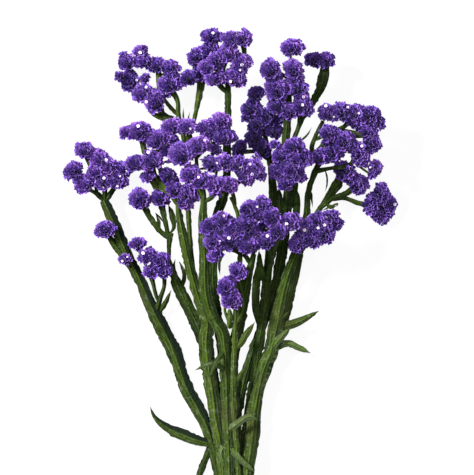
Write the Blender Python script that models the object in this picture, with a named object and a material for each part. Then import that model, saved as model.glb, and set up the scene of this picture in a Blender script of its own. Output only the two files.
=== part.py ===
"""A bunch of dried statice, eleven cut stems laid down together, at real size.

The bunch lies along +Y with its flowers away from the cut ends, on a surface at z = 0.
Every route is traced in millimetres on a sheet: across from its left edge, down from its top
edge, and a height above the surface. Stems are laid one after another, and each lies over
those below it, as they do in a real bunch.
"""

import math
import random

import bmesh
import bpy
import numpy as np
from mathutils import Quaternion, Vector

MM = 0.001
SHEET_CENTRE_ACROSS = 230.70
SHEET_CENTRE_DOWN = 275.57

CLEARANCE = 0.35
STEM_HALF_HEIGHT = 2.8
STEM_CORE_SHARE = 0.24
WING_TIP_HALF_THICKNESS = 0.42
STEM_RING_SPACING = 28.0
STEM_WAVE = 0.10
STEM_WAVE_TURN = 2.4
BRANCH_HALF_HEIGHT = 1.3
THICKEST_SHARE = 0.6
THINNEST_HALF_HEIGHT = 0.57
FLAT_DEPTH = 0.3
LAYING_SPACING = 4.0
LAYING_REACH = 16.0
HEAD_LIFT = 1.25
SMALL_TUFT_RADIUS = 10.8
HEAD_SWELL = 1.12
SMALL_CORE_RADIUS = 0.76
SMALL_CORE_RING = -0.16
SMALL_CORE_TOP = 0.34
SMALL_CORE_FOOT = -0.76
LARGE_CORE_RADIUS = 0.70
LARGE_CORE_HALF_HEIGHT = 0.56
LARGE_CORE_MIDDLE = -0.20
TUFT_BASE = -0.85
FLORET_REACH = 1.46
FLORET_MOUTH_SHARE = 0.76
REACH_VARIATION = 0.07
SCRAP_VOLUME = 150.0
NECK_RADIUS = 2.6
FOOT_SHARE = 0.66
NECK_SHARE = 0.50
FLAT_ANGLE = math.radians(1.0)
STEM_ROUGHNESS = 0.55
HEAD_ROUGHNESS = 0.8
SEED = 12

# Main stems, from the bottom of the pile to its top: name, route as (across, down, width),
# and the heights that it keeps above the surface as (down, height).
STEMS = (
    ("stem_2",
     ((216, 505, 9), (218, 480, 10), (219, 460, 12), (218, 440, 13), (216, 410, 12), (213, 385, 13),
      (209, 360, 13), (203, 340, 13), (197, 326, 13), (188, 308, 12), (180, 292, 12), (172, 275, 10),
      (169, 262, 5), (170, 233, 7)),
     ((330, 3), (277, 13), (233, 24))),
    ("stem_9",
     ((236, 526, 9), (235, 490, 9), (234, 455, 9), (240, 400, 10), (254, 350, 10), (265, 320, 10),
      (275, 290, 11), (282, 255, 11), (287, 210, 10), (288, 190, 9), (286, 138, 8), (287, 125, 8),
      (289, 90, 6), (289, 62, 4)),
     ((400, 3), (255, 12), (190, 24), (138, 32), (62, 42))),
    ("stem_11",
     ((250, 512, 8), (249, 480, 8), (248, 450, 8), (255, 410, 8), (272, 360, 8), (288, 310, 8),
      (299, 260, 8), (307, 213, 7), (309, 190, 6), (315, 172, 6), (319, 161, 5), (312, 150, 5),
      (316, 135, 4), (323, 121, 4)),
     ((300, 3), (250, 10), (190, 24), (150, 34), (121, 38))),
    ("stem_1",
     ((226, 520, 10), (221, 490, 10), (217, 465, 12), (212, 445, 12), (206, 427, 13), (197, 410, 14),
      (186, 390, 14), (179, 370, 14), (172, 350, 15), (162, 330, 15), (151, 308, 13), (139, 280, 11),
      (127, 256, 11), (119, 238, 12), (111, 218, 12), (103, 200, 9)),
     ((330, 8), (256, 10), (198, 17))),
    ("stem_5",
     ((230, 508, 9), (229, 480, 9), (229, 455, 10), (230, 430, 10), (226, 400, 10), (222, 350, 10),
      (216, 310, 10), (213, 285, 9), (214, 250, 9), (217, 215, 9), (224, 195, 9), (227, 170, 8),
      (227, 140, 8), (228, 115, 7), (228, 84, 6)),
     ((300, 9), (195, 20), (84, 36))),
    ("stem_8",
     ((238, 515, 10), (240, 485, 10), (242, 455, 10), (247, 430, 10), (251, 400, 10), (256, 370, 10),
      (260, 340, 10), (264, 310, 10), (267, 280, 9), (270, 240, 8), (273, 200, 9), (271, 168, 7),
      (266, 140, 5), (262, 115, 4)),
     ((300, 9), (200, 18), (115, 24))),
    ("stem_3",
     ((226, 524, 10), (225, 495, 11), (222, 465, 12), (219, 440, 13), (215, 418, 14), (213, 400, 14),
      (210, 380, 15), (207, 360, 16), (206, 340, 15), (207, 323, 14), (202, 308, 12), (196, 290, 11),
      (190, 268, 10), (184, 240, 10), (180, 220, 8), (178, 202, 5)),
     ((340, 15), (268, 27), (202, 42))),
    ("stem_7",
     ((232, 527, 10), (234, 495, 10), (236, 465, 10), (236, 430, 10), (233, 385, 11), (234, 350, 12),
      (240, 320, 12), (243, 300, 12), (246, 285, 11), (250, 268, 8), (254, 254, 5)),
     ((340, 16), (300, 28), (254, 46))),
    ("stem_10",
     ((244, 520, 11), (245, 495, 12), (248, 468, 14), (252, 440, 15), (255, 412, 14), (259, 390, 13),
      (264, 370, 14), (272, 350, 15), (276, 330, 16), (280, 310, 15), (284, 290, 13), (290, 270, 11),
      (297, 250, 9)),
     ((350, 15), (290, 24), (250, 36))),
    ("stem_4",
     ((231, 518, 10), (230, 490, 10), (229, 465, 11), (228, 440, 12), (227, 410, 12), (226, 380, 13),
      (225, 350, 14), (222, 332, 14), (214, 320, 13), (208, 305, 13), (205, 285, 13), (205, 262, 12),
      (204, 240, 11), (203, 220, 9), (204, 198, 6)),
     ((330, 23), (265, 38), (198, 54))),
    ("stem_6",
     ((238, 500, 6), (238, 470, 6), (236, 440, 6), (233, 400, 6), (234, 360, 6), (235, 335, 6),
      (236, 310, 6), (238, 285, 5), (240, 262, 5), (240, 240, 4), (238, 215, 4), (231, 197, 4)),
     ((400, 23), (330, 32), (262, 38), (197, 46))),
)

# Side stems, stalks, leaves and bracts of each stem, as (across, down, height, width). A first
# height of 0 is read from the stem, and a last height of 0 ends the stalk in a tuft's foot.
SIDE_STEMS = {
    "stem_1": (
        ((104, 202, 0, 7), (97, 194, 17, 5), (90, 190, 19, 4), (83, 187, 0, 5)),
        ((104, 202, 0, 7), (104, 193, 18, 5), (101, 185, 0, 7)),
        ((104, 202, 0, 7), (112, 190, 18, 5), (121, 183, 0, 6)),
        ((92, 191, 18, 4), (83, 183, 17, 4), (75, 174, 0, 6)),
        ((97, 195, 17, 4), (92, 172, 20, 4), (87, 159, 0, 7)),
        ((130, 268, 0, 9), (122, 256, 9, 8), (112, 242, 12, 7), (106, 233, 0, 4)),
        ((130, 270, 0, 4), (128, 265, 14, 3), (126, 262, 0, 4)),
        ((156, 312, 0, 7), (160, 298, 14, 5), (164, 285, 18, 4), (165, 275, 0, 5)),
        ((158, 304, 12, 4), (154, 290, 15, 4), (150, 278, 0, 5)),
        ((152, 285, 14, 3), (145, 265, 18, 3), (139, 247, 0, 5)),
        ((154, 306, 0, 4), (147, 298, 8, 4), (140, 288, 7, 1.2)),
        ((160, 312, 0, 6), (165, 303, 13, 5), (171, 290, 15, 1.2)),
        ((213, 446, 0, 7), (200, 443, 9, 10), (181, 436, 8, 12), (164, 428, 6, 8), (154, 419, 5, 4),
         (149, 408, 5, 1.2)),
    ),
    "stem_2": (
        ((169, 240, 0, 5), (154, 224, 24, 6), (139, 209, 0, 7)),
        ((169, 240, 0, 4), (165, 222, 25, 5), (161, 205, 0, 7)),
        ((177, 285, 0, 4), (173, 268, 15, 4), (175, 259, 16, 1.2)),
        ((160, 230, 24, 3), (158, 220, 21, 3), (155, 213, 19, 1.2)),
        ((180, 290, 0, 5), (184, 276, 16, 4), (179, 262, 18, 1.2)),
        ((217, 436, 0, 8), (207, 456, 3.4, 7), (200, 474, 3, 7), (196, 492, 3, 6)),
    ),
    "stem_3": (
        ((180, 208, 0, 5), (172, 196, 43, 5), (163, 184, 43, 8), (155, 175, 44, 5), (150, 168, 0, 5)),
        ((155, 176, 44, 5), (147, 158, 44, 5), (140, 142, 0, 7)),
        ((163, 186, 43, 5), (160, 165, 44, 5), (158, 150, 0, 6)),
        ((172, 196, 43, 5), (164, 187, 40, 10), (155, 182, 38, 12), (147, 181, 38, 2)),
        ((178, 204, 0, 4), (178, 197, 43, 4), (177, 193, 0, 5)),
        ((197, 300, 0, 6), (192, 262, 21, 5), (188, 210, 20, 5), (186, 160, 19, 5), (183, 135, 18, 5),
         (178, 114, 17, 5), (177, 100, 18, 5), (173, 88, 0, 7)),
        ((179, 116, 17, 5), (168, 104, 16, 4), (160, 92, 16, 4), (151, 76, 0, 6)),
        ((186, 142, 18, 5), (193, 122, 18, 4), (198, 100, 18, 6), (201, 80, 0, 9)),
        ((164, 99, 16, 4), (152, 92, 14, 4), (136, 84, 0, 6)),
        ((180, 119, 17, 4), (163, 114, 15, 6), (151, 109, 0, 8)),
        ((159, 90, 16, 4), (160, 78, 16, 4), (160, 70, 0, 5)),
    ),
    "stem_4": (
        ((204, 205, 0, 6), (204, 192, 54, 5), (202, 183, 0, 6)),
        ((204, 203, 0, 5), (213, 196, 55, 5), (218, 190, 0, 6)),
        ((204, 203, 0, 5), (196, 180, 52, 5), (188, 160, 0, 6)),
        ((197, 182, 52, 4), (196, 155, 52, 4), (186, 135, 0, 6)),
        ((214, 196, 55, 4), (228, 188, 55, 4), (242, 178, 0, 5)),
        ((196, 160, 52, 4), (206, 148, 52, 4), (218, 138, 0, 6)),
        ((225, 352, 0, 6), (216, 362, 25, 5), (209, 378, 25, 1.2)),
        ((226, 372, 0, 5), (212, 364, 24, 5), (194, 371, 24, 1.2)),
        ((229, 448, 0, 7), (240, 460, 24, 6), (254, 473, 23, 5)),
        ((228, 432, 0, 8), (238, 424, 25, 8), (250, 417, 27, 6), (258, 421, 28, 1.4)),
    ),
    "stem_5": (
        ((228, 88, 0, 6), (223, 72, 36, 6), (218, 62, 0, 8)),
        ((228, 94, 0, 5), (223, 89, 36, 5), (213, 80, 0, 6)),
        ((228, 88, 0, 5), (236, 76, 37, 5), (240, 66, 0, 6)),
        ((235, 78, 37, 4), (244, 58, 40, 4), (245, 42, 0, 7)),
        ((223, 72, 36, 4), (226, 62, 37, 4), (228, 54, 0, 5)),
    ),
    "stem_6": (
        ((235, 330, 0, 5), (227, 317, 34, 3), (225, 308, 37, 3), (229, 300, 0, 4)),
        ((236, 325, 0, 5), (243, 310, 36, 3), (242, 290, 40, 3), (239, 277, 0, 4)),
        ((235, 350, 0, 6), (243, 340, 31, 7), (250, 326, 33, 1.4)),
        ((234, 385, 0, 5), (240, 376, 26, 5), (247, 366, 27, 1.4)),
        ((236, 205, 0, 4), (232, 193, 48, 4), (229, 186, 0, 5)),
    ),
    "stem_7": (
        ((252, 266, 0, 5), (240, 250, 47, 5), (231, 240, 0, 7)),
        ((254, 258, 0, 5), (252, 245, 48, 5), (248, 232, 0, 8)),
        ((246, 257, 46, 4), (228, 248, 45, 4), (216, 247, 0, 6)),
    ),
    "stem_8": (
        ((267, 284, 0, 6), (271, 264, 28, 6), (274, 250, 42, 6), (277, 236, 0, 7)),
        ((268, 160, 0, 4), (258, 152, 19, 4), (248, 149, 0, 5)),
        ((272, 264, 30, 4), (270, 253, 42, 4), (269, 238, 0, 5)),
        ((262, 332, 0, 6), (256, 308, 14, 8), (257, 280, 19, 8), (261, 254, 24, 4)),
    ),
    "stem_9": (
        ((288, 212, 0, 7), (295, 190, 23, 6), (295, 138, 24, 5), (302, 120, 24, 5), (316, 97, 24, 8),
         (323, 80, 26, 11), (325, 66, 0, 9)),
        ((287, 206, 0, 5), (287, 197, 36, 5), (285, 184, 0, 6)),
        ((287, 150, 0, 5), (297, 132, 40, 4), (303, 118, 0, 6)),
        ((289, 104, 0, 5), (284, 99, 41, 4), (272, 84, 0, 7)),
        ((289, 80, 0, 4), (280, 74, 42, 4), (271, 70, 0, 6)),
    ),
    "stem_10": (
        ((297, 256, 0, 7), (305, 238, 34, 6), (314, 218, 28, 5), (326, 200, 23, 6), (336, 186, 20, 10),
         (340, 178, 0, 8)),
        ((322, 208, 26, 5), (333, 198, 22, 5), (345, 194, 18, 6), (357, 185, 0, 7)),
        ((330, 200, 23, 4), (345, 198, 15, 4), (360, 203, 13, 5), (376, 203, 0, 6)),
        ((298, 254, 0, 6), (305, 246, 37, 5), (311, 240, 0, 7)),
        ((296, 258, 0, 6), (300, 244, 38, 6), (304, 228, 0, 7)),
        ((308, 234, 36, 4), (320, 236, 40, 4), (327, 233, 0, 5)),
        ((279, 328, 0, 8), (295, 324, 17, 9), (308, 318, 16, 6), (320, 311, 15, 1.4)),
        ((272, 350, 0, 8), (288, 344, 14, 7), (300, 349, 12, 6), (311, 354, 11, 3)),
        ((270, 352, 0, 7), (283, 336, 20, 7), (291, 328, 19, 3)),
        ((277, 325, 0, 4), (284, 317, 20, 4), (291, 310, 21, 1.2)),
        ((325, 203, 24, 4), (332, 207, 26, 4), (337, 206, 27, 1.2)),
    ),
    "stem_11": (
        ((314, 154, 0, 5), (321, 147, 38, 5), (329, 139, 0, 6)),
        ((314, 170, 0, 6), (322, 161, 34, 4), (340, 154, 0, 6)),
        ((316, 140, 0, 5), (330, 132, 36, 5), (342, 128, 36, 5), (352, 122, 0, 7)),
        ((334, 131, 36, 4), (352, 134, 35, 8), (364, 137, 0, 7)),
        ((312, 172, 0, 6), (332, 168, 36, 4), (350, 165, 38, 5), (359, 158, 0, 6)),
    ),
}

# Flower sprays: name, the point that its tufts fan out from as (across, down), and the tufts
# as (across, down, height, radius).
SPRAYS = (
    ("heads_far_left", (104, 205),
     ((84, 149, 29, 9.5), (72, 170, 26, 10), (99, 157, 30, 10), (84, 184, 27, 10), (96, 171, 29, 9),
      (109, 165, 30, 9), (103, 181, 28, 9), (124, 168, 29, 8), (119, 180, 28, 9))),
    ("heads_left_side", (120, 262), ((104, 229, 19, 10),)),
    ("heads_left_bud", (128, 274), ((124.5, 259, 25, 6.5),)),
    ("heads_low_left", (152, 305),
     ((137, 243, 27, 8), (148, 255, 27, 8.5), (161, 259, 28, 8.5), (151, 271, 26, 8),
      (165, 270, 28, 8))),
    ("heads_small_left", (160, 230), ((139, 198, 33, 12),)),
    ("heads_small_right", (166, 228), ((160, 197, 34, 10),)),
    ("heads_upper_left", (172, 212),
     ((176, 189, 52, 9.5), (189, 193, 52, 10), (168, 175, 52, 9), (151, 161, 53, 12),
      (135, 163, 53, 9.5), (158, 139, 54, 12), (139, 131, 54, 11))),
    ("heads_middle", (208, 214),
     ((190, 174, 67, 10), (201, 181, 67, 9), (214, 184, 67, 10), (229, 184, 66, 9.5), (246, 177, 65, 9),
      (256, 168, 65, 9.5), (240, 165, 67, 10), (226, 163, 68, 9), (212, 164, 68, 9.5),
      (181, 154, 66, 13), (199, 146, 67, 11), (187, 127, 65, 10), (172, 127, 63, 10), (206, 128, 65, 9),
      (222, 121, 66, 9.5), (225, 137, 66, 11))),
    ("heads_top_left", (166, 112),
     ((140, 50, 22, 7.5), (126, 61, 20, 9), (143, 60, 22, 9), (157, 64, 22, 9), (171, 66, 22, 9),
      (128, 79, 8.4, 11.5), (170, 82, 22, 12), (141, 92, 20, 10.5), (154, 99, 23, 12))),
    ("heads_top_back", (200, 110),
     ((188, 77, 26, 9), (202, 71, 27, 10), (197, 55, 28, 10), (210, 50, 29, 10), (212, 35, 29, 10))),
    ("heads_top", (228, 106),
     ((207, 67, 48, 9), (215, 78, 47, 10), (216, 60, 49, 9), (229, 53, 49, 10), (243, 62, 49, 9.5),
      (236, 77, 47, 11), (231, 39, 49, 9), (244, 38, 49, 9))),
    ("heads_inner_back", (264, 166),
     ((256, 93, 29, 9), (251, 108, 30, 10), (267, 115, 31, 9), (257, 123, 30, 9),
      (254, 136, 29, 9.5), (275, 130, 29, 9), (239, 149, 29, 9), (262, 148, 29, 10))),
    ("heads_upper_right", (289, 132),
     ((292, 48, 52, 11), (293, 69, 52, 11), (270, 69, 52, 11), (276, 88, 52, 13), (276, 106, 51, 9.5),
      (291, 111, 51, 9.5), (304, 106, 52, 11), (298, 88, 52, 11))),
    ("heads_right_bud", (326, 96), ((313, 59, 31, 8.5), (326, 59, 31, 9))),
    ("heads_inner_right", (288, 206),
     ((294, 146, 55, 10), (303, 157, 55, 10), (281, 156, 53, 9), (278, 171, 53, 9), (293, 168, 57, 11),
      (286, 182, 53, 9))),
    ("heads_right", (318, 168),
     ((328, 113, 46, 10), (342, 111, 47, 10), (356, 113, 47, 10), (371, 115, 45, 11),
      (329, 133, 47, 10), (346, 141, 48, 11), (369, 132, 46, 10), (374, 144, 45, 9), (361, 155, 47, 12),
      (375, 169, 45, 8), (321, 156, 45, 10), (334, 154, 46, 9.5))),
    ("heads_far_right", (330, 206),
     ((345, 170, 24, 11.5), (360, 184, 22, 11), (383, 193, 19, 10.5), (388, 206, 9.2, 12),
      (373, 205, 18, 10))),
    ("heads_front_left", (252, 272),
     ((209, 226, 55, 10), (212, 241, 56, 10), (222, 220, 57, 9.5), (232, 228, 58, 10.5),
      (229, 242, 58, 9.5), (246, 224, 60, 12), (249, 244, 59, 11), (249, 208, 59, 9), (262, 204, 57, 9))),
    ("heads_front_middle", (272, 274),
     ((266, 240, 61, 9), (271, 216, 60, 10), (279, 229, 62, 10), (291, 221, 60, 10))),
    ("heads_front_right", (300, 262),
     ((297, 243, 51, 9.5), (305, 227, 51, 10), (313, 239, 51, 9.5), (318, 220, 50, 9.5),
      (331, 217, 49, 8.5), (327, 233, 50, 10))),
    ("heads_low_middle", (236, 322),
     ((238, 270, 51, 9), (227, 285, 50, 10), (231, 299, 49, 10))),
)

GREENS = {
    "stem_1": (0.060, 0.105, 0.030),
    "stem_2": (0.038, 0.075, 0.024),
    "stem_3": (0.085, 0.150, 0.042),
    "stem_4": (0.050, 0.100, 0.028),
    "stem_5": (0.030, 0.058, 0.028),
    "stem_6": (0.070, 0.120, 0.035),
    "stem_7": (0.028, 0.055, 0.022),
    "stem_8": (0.034, 0.066, 0.026),
    "stem_9": (0.034, 0.066, 0.026),
    "stem_10": (0.055, 0.105, 0.030),
    "stem_11": (0.030, 0.060, 0.026),
}
VIOLET = (0.105, 0.035, 0.400)


def clear_scene():
    for item in list(bpy.data.objects):
        bpy.data.objects.remove(item)


def on_table(across, down, height):
    """A point of the tracing sheet, in the part's own frame."""
    return Vector(((across - SHEET_CENTRE_ACROSS) * MM, (SHEET_CENTRE_DOWN - down) * MM, height * MM))


def smooth_rows(rows, spacing):
    """Rows read evenly along a smooth curve through the given ones."""
    rows = np.array(rows, float)
    steps = np.linalg.norm(np.diff(rows[:, :2], axis=0), axis=1)
    chord = np.concatenate(([0.0], np.cumsum(steps)))
    slopes = np.gradient(rows, chord, axis=0)
    count = max(2, round(chord[-1] / spacing)) + 1
    where = np.linspace(0.0, chord[-1], count)
    left = np.clip(np.searchsorted(chord, where, side="right") - 1, 0, len(chord) - 2)
    span = (chord[left + 1] - chord[left])[:, None]
    t = (where - chord[left])[:, None] / span
    start = (1 + 2 * t) * (1 - t) ** 2 * rows[left] + t * (1 - t) ** 2 * span * slopes[left]
    end = t * t * (3 - 2 * t) * rows[left + 1] + t * t * (t - 1) * span * slopes[left + 1]
    return start + end


def half_height_at(offset, half_width):
    """Half the thickness of a winged stem, at an offset from its middle line."""
    core = STEM_CORE_SHARE * half_width
    slope = np.clip((np.abs(offset) - core) / (half_width - core), 0.0, 1.0)
    height = STEM_HALF_HEIGHT + (WING_TIP_HALF_THICKNESS - STEM_HALF_HEIGHT) * slope
    return np.where(np.abs(offset) <= half_width, height, -100.0)


def stacked_height(apart, width_below, width_above):
    """How far above a stem's middle line another one lies, with their middle lines apart."""
    across = np.linspace(-width_below, width_below, 25)
    both = half_height_at(across, width_below) + half_height_at(across - apart, width_above)
    return both.max() + CLEARANCE


def spread_highest(heights, reach):
    """Each height raised to the highest one within reach of it."""
    padded = np.pad(heights, reach, mode="edge")
    return np.array([padded[i:i + 2 * reach + 1].max() for i in range(len(heights))])


def averaged(heights, reach):
    """Each height as the mean of those within reach of it."""
    padded = np.pad(heights, reach, mode="edge")
    return np.array([padded[i:i + 2 * reach + 1].mean() for i in range(len(heights))])


def lay_stem(route, kept_heights, laid):
    """The stem's middle line as (across, down, height, width), lying over the laid stems."""
    line = smooth_rows(route, LAYING_SPACING)
    floor = np.full(len(line), STEM_HALF_HEIGHT - FLAT_DEPTH)
    for other in laid:
        apart = np.linalg.norm(line[:, None, :2] - other[None, :, :2], axis=2)
        for i, j in np.argwhere(apart < (line[:, None, 2] + other[None, :, 3]) / 2):
            stacked = stacked_height(apart[i, j], other[j, 3] / 2, line[i, 2] / 2)
            floor[i] = max(floor[i], other[j, 2] + stacked)
    downs = [down for down, _ in reversed(kept_heights)]
    heights = [height for _, height in reversed(kept_heights)]
    wanted = np.interp(line[:, 1], downs, heights)
    lowest = downs[-1]
    wanted = np.where(line[:, 1] > lowest, 0.0, wanted)
    reach = round(LAYING_REACH / LAYING_SPACING)
    raised = np.maximum(spread_highest(floor, reach), wanted)
    height = averaged(averaged(raised, reach // 2), reach // 2)
    return np.column_stack((line[:, :2], height, line[:, 2]))


def tube(name, rings):
    """A closed body through rings of points, split alike on its upper and lower faces."""
    count = len(rings[0])
    centre = [sum(ring, Vector()) / count for ring in rings]
    verts = [point for ring in rings for point in ring]
    faces = []
    for i in range(len(rings) - 1):
        for j in range(count):
            k = (j + 1) % count
            a, b = i * count + j, i * count + k
            c, d = a + count, b + count
            outer_first = (rings[i][j] - centre[i]).length >= (rings[i][k] - centre[i]).length
            faces += [(a, b, d), (a, d, c)] if outer_first else [(a, b, c), (b, d, c)]
    last = (len(rings) - 1) * count
    faces += [(0, j + 1, j) for j in range(1, count - 1)]
    faces += [(last, last + j, last + j + 1) for j in range(1, count - 1)]
    mesh = bpy.data.meshes.new(name)
    mesh.from_pydata(verts, [], faces)
    return finished(name, mesh)


def finished(name, mesh):
    """An object of the mesh, with its faces pointing out."""
    work = bmesh.new()
    work.from_mesh(mesh)
    bmesh.ops.recalc_face_normals(work, faces=work.faces)
    if work.calc_volume(signed=True) < 0:
        bmesh.ops.reverse_faces(work, faces=work.faces)
    work.to_mesh(mesh)
    work.free()
    item = bpy.data.objects.new(name, mesh)
    bpy.context.scene.collection.objects.link(item)
    return item


def section(width, height, tip, core):
    """Half-widths and heights of a section round its edge: a main stem, a stalk or a leaf."""
    if core:
        return ((width, -tip), (width, tip), (core, height), (-core, height),
                (-width, tip), (-width, -tip), (-core, -height), (core, -height))
    return ((width, 0.0), (0.0, height), (-width, 0.0), (0.0, -height))


def winged(name, line, half_height, cored, grow, waves):
    """A winged stem along its middle line. Its wings wave in width, and it can be grown."""
    points = [on_table(*row[:3]) for row in line]
    last = len(points) - 1
    rings = []
    for i, point in enumerate(points):
        along = (points[min(i + 1, last)] - points[max(i - 1, 0)]).normalized()
        side = along.cross(Vector((0.0, 0.0, 1.0))).normalized()
        up = side.cross(along).normalized()
        if grow and i in (0, last):
            point = point + along * (grow * MM if i else -grow * MM)
        wave = 1.0 + waves * math.sin(STEM_WAVE_TURN * i + len(name))
        half = line[i][3] / 2 * wave
        core = STEM_CORE_SHARE * line[i][3] / 2 + grow if cored else 0.0
        tip = WING_TIP_HALF_THICKNESS + grow
        height = max(min(half_height, THICKEST_SHARE * half), THINNEST_HALF_HEIGHT) + grow
        outline = section(half + grow, height, tip, core)
        rings.append([point + (side * x + up * z) * MM for x, z in outline])
    return tube(name, rings)


def combined(base, others, operation, solver="MANIFOLD"):
    """The base object joined with, or cut by, the others, which are then removed."""
    if not others:
        return base
    tools = bpy.data.collections.new("tools")
    bpy.context.scene.collection.children.link(tools)
    for piece in others:
        bpy.context.scene.collection.objects.unlink(piece)
        tools.objects.link(piece)
    step = base.modifiers.new(operation, "BOOLEAN")
    step.operation = operation
    step.operand_type = "COLLECTION"
    step.collection = tools
    step.solver = solver
    bpy.context.view_layer.update()
    evaluated = base.evaluated_get(bpy.context.evaluated_depsgraph_get())
    result = bpy.data.meshes.new_from_object(evaluated)
    base.modifiers.clear()
    base.data = result
    for piece in others:
        bpy.data.objects.remove(piece)
    bpy.data.collections.remove(tools)
    return base


def islands(work):
    """The faces of each connected body in a bmesh."""
    left = set(work.faces)
    found = []
    while left:
        body = set()
        edge = [left.pop()]
        while edge:
            face = edge.pop()
            body.add(face)
            for side in face.edges:
                for near in side.link_faces:
                    if near in left:
                        left.remove(near)
                        edge.append(near)
        found.append(body)
    return found


def body_volume(body):
    """The volume that a closed set of faces holds, negative for a hollow."""
    total = 0.0
    for face in body:
        corners = [loop.vert.co for loop in face.loops]
        for i in range(1, len(corners) - 1):
            total += corners[0].dot(corners[i].cross(corners[i + 1])) / 6.0
    return total


def solid_bodies(item):
    """The separate solid bodies of the item, largest first.

    Sealed hollows are filled, and loose scraps are dropped.
    """
    work = bmesh.new()
    work.from_mesh(item.data)
    bmesh.ops.dissolve_limit(work, angle_limit=FLAT_ANGLE, verts=work.verts, edges=work.edges)
    bmesh.ops.triangulate(work, faces=work.faces)
    found = []
    for body in islands(work):
        volume = body_volume(body)
        if volume > SCRAP_VOLUME * MM ** 3:
            verts = sorted({vert for face in body for vert in face.verts}, key=lambda vert: vert.index)
            number = {vert: i for i, vert in enumerate(verts)}
            faces = [[number[vert] for vert in face.verts] for face in body]
            found.append((volume, [vert.co.copy() for vert in verts], sorted(faces)))
    work.free()
    bpy.data.objects.remove(item)
    solids = []
    for _, verts, faces in sorted(found, key=lambda solid: -solid[0]):
        mesh = bpy.data.meshes.new("solid")
        mesh.from_pydata(verts, [], faces)
        solids.append(finished("solid", mesh))
    return solids


def tuft_axis(fan, row):
    """The way a tuft points: away from the point that its spray fans from, and up."""
    outward = (on_table(*row[:3]) - on_table(fan[0], fan[1], row[2])).normalized()
    return (outward + Vector((0.0, 0.0, HEAD_LIFT))).normalized()


def foot_of_nearest_tuft(place):
    """The foot of the tuft nearest to a place on the sheet, as (across, down, height)."""
    tufts = [(fan, row) for _, fan, rows in SPRAYS for row in rows]
    fan, row = min(tufts, key=lambda tuft: math.dist(tuft[1][:2], place[:2]))
    foot = on_table(*row[:3]) - tuft_axis(fan, row) * (FOOT_SHARE * HEAD_SWELL * row[3] * MM)
    return foot.x / MM + SHEET_CENTRE_ACROSS, SHEET_CENTRE_DOWN - foot.y / MM, foot.z / MM


def stem_parts(name, line, grow):
    """The bodies that make up one leafy stem: its main stem, side stems, stalks and leaves."""
    main = smooth_rows(line, STEM_RING_SPACING)
    parts = [winged(name, main, STEM_HALF_HEIGHT, True, grow, STEM_WAVE)]
    for rows in SIDE_STEMS.get(name, ()):
        rows = [list(row) for row in rows]
        if rows[0][2] == 0:
            nearest = np.argmin(np.linalg.norm(line[:, :2] - np.array(rows[0][:2]), axis=1))
            rows[0][2] = line[nearest, 2]
        if rows[-1][2] == 0:
            rows[-1][:3] = foot_of_nearest_tuft(rows[-1])
        parts.append(winged(name, rows, BRANCH_HALF_HEIGHT, False, grow, 0.0))
    return parts


def small_core(work):
    """A six-sided core, pointed above and below."""
    top = work.verts.new((0.0, 0.0, SMALL_CORE_TOP))
    foot = work.verts.new((0.0, 0.0, SMALL_CORE_FOOT))
    turns = [2.0 * math.pi * i / 6 for i in range(6)]
    edge = [(SMALL_CORE_RADIUS * math.cos(turn), SMALL_CORE_RADIUS * math.sin(turn)) for turn in turns]
    ring = [work.verts.new((x, y, SMALL_CORE_RING)) for x, y in edge]
    for i in range(6):
        work.faces.new((ring[i], ring[(i + 1) % 6], top))
        work.faces.new((ring[(i + 1) % 6], ring[i], foot))


def large_core(work):
    """A twenty-sided core, a little flattened along its axis."""
    bmesh.ops.create_icosphere(work, subdivisions=1, radius=1.0)
    for vert in work.verts:
        x, y, z = vert.co
        height = LARGE_CORE_HALF_HEIGHT * z + LARGE_CORE_MIDDLE
        vert.co = Vector((LARGE_CORE_RADIUS * x, LARGE_CORE_RADIUS * y, height))


def hull_of(work):
    """A new bmesh of the convex hull round the points of another."""
    hull = bmesh.new()
    for vert in work.verts:
        hull.verts.new(vert.co)
    work.free()
    bmesh.ops.convex_hull(hull, input=hull.verts)
    loose = [vert for vert in hull.verts if not vert.link_faces]
    bmesh.ops.delete(hull, geom=loose, context="VERTS")
    return hull


def tuft(name, centre, radius, axis, draw, grow, neighbours):
    """A tuft of florets: three-sided florets that flare out from a smaller core.

    None grows where it would be buried in a neighbouring tuft, given as (centre, radius).
    """
    work = bmesh.new()
    if radius < HEAD_SWELL * SMALL_TUFT_RADIUS:
        small_core(work)
    else:
        large_core(work)
    work.normal_update()
    roll = Quaternion((0.0, 0.0, 1.0), draw.uniform(0.0, 2.0 * math.pi))
    turn = axis.to_track_quat("Z", "Y") @ roll
    base = Vector((0.0, 0.0, TUFT_BASE))
    for face in [face for face in work.faces if face.normal.z > 0.0]:
        reach = FLORET_REACH * (1.0 + draw.uniform(-REACH_VARIATION, REACH_VARIATION))
        tip = base + (face.calc_center_median() - base) * reach
        mouth = centre + turn @ (tip * radius * MM)
        if any((mouth - other).length < size * MM for other, size in neighbours):
            continue
        grown = bmesh.ops.extrude_discrete_faces(work, faces=[face])["faces"][0]
        for vert in grown.verts:
            outer = base + (vert.co - base) * reach
            vert.co = tip + (outer - tip) * FLORET_MOUTH_SHARE
    for vert in work.verts:
        vert.co = centre + turn @ (vert.co * (radius + grow) * MM)
    if grow:
        work = hull_of(work)
    bmesh.ops.triangulate(work, faces=work.faces)
    mesh = bpy.data.meshes.new(name)
    work.to_mesh(mesh)
    work.free()
    return finished(name, mesh)


def spray_tufts(name, fan, group, grow):
    """The tufts of one group, each pointing away from the point that the spray fans from."""
    draw = random.Random(name + str(SEED))
    bodies = []
    places = [(on_table(*tuft_row[:3]), HEAD_SWELL * tuft_row[3]) for tuft_row in group]
    for i, row in enumerate(group):
        centre, radius = places[i]
        axis = tuft_axis(fan, row)
        bodies.append(tuft(name, centre, radius, axis, draw, grow, places[:i] + places[i + 1:]))
    return bodies + [neck(name, *ends, grow) for ends in neck_ends(places)]


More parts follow.
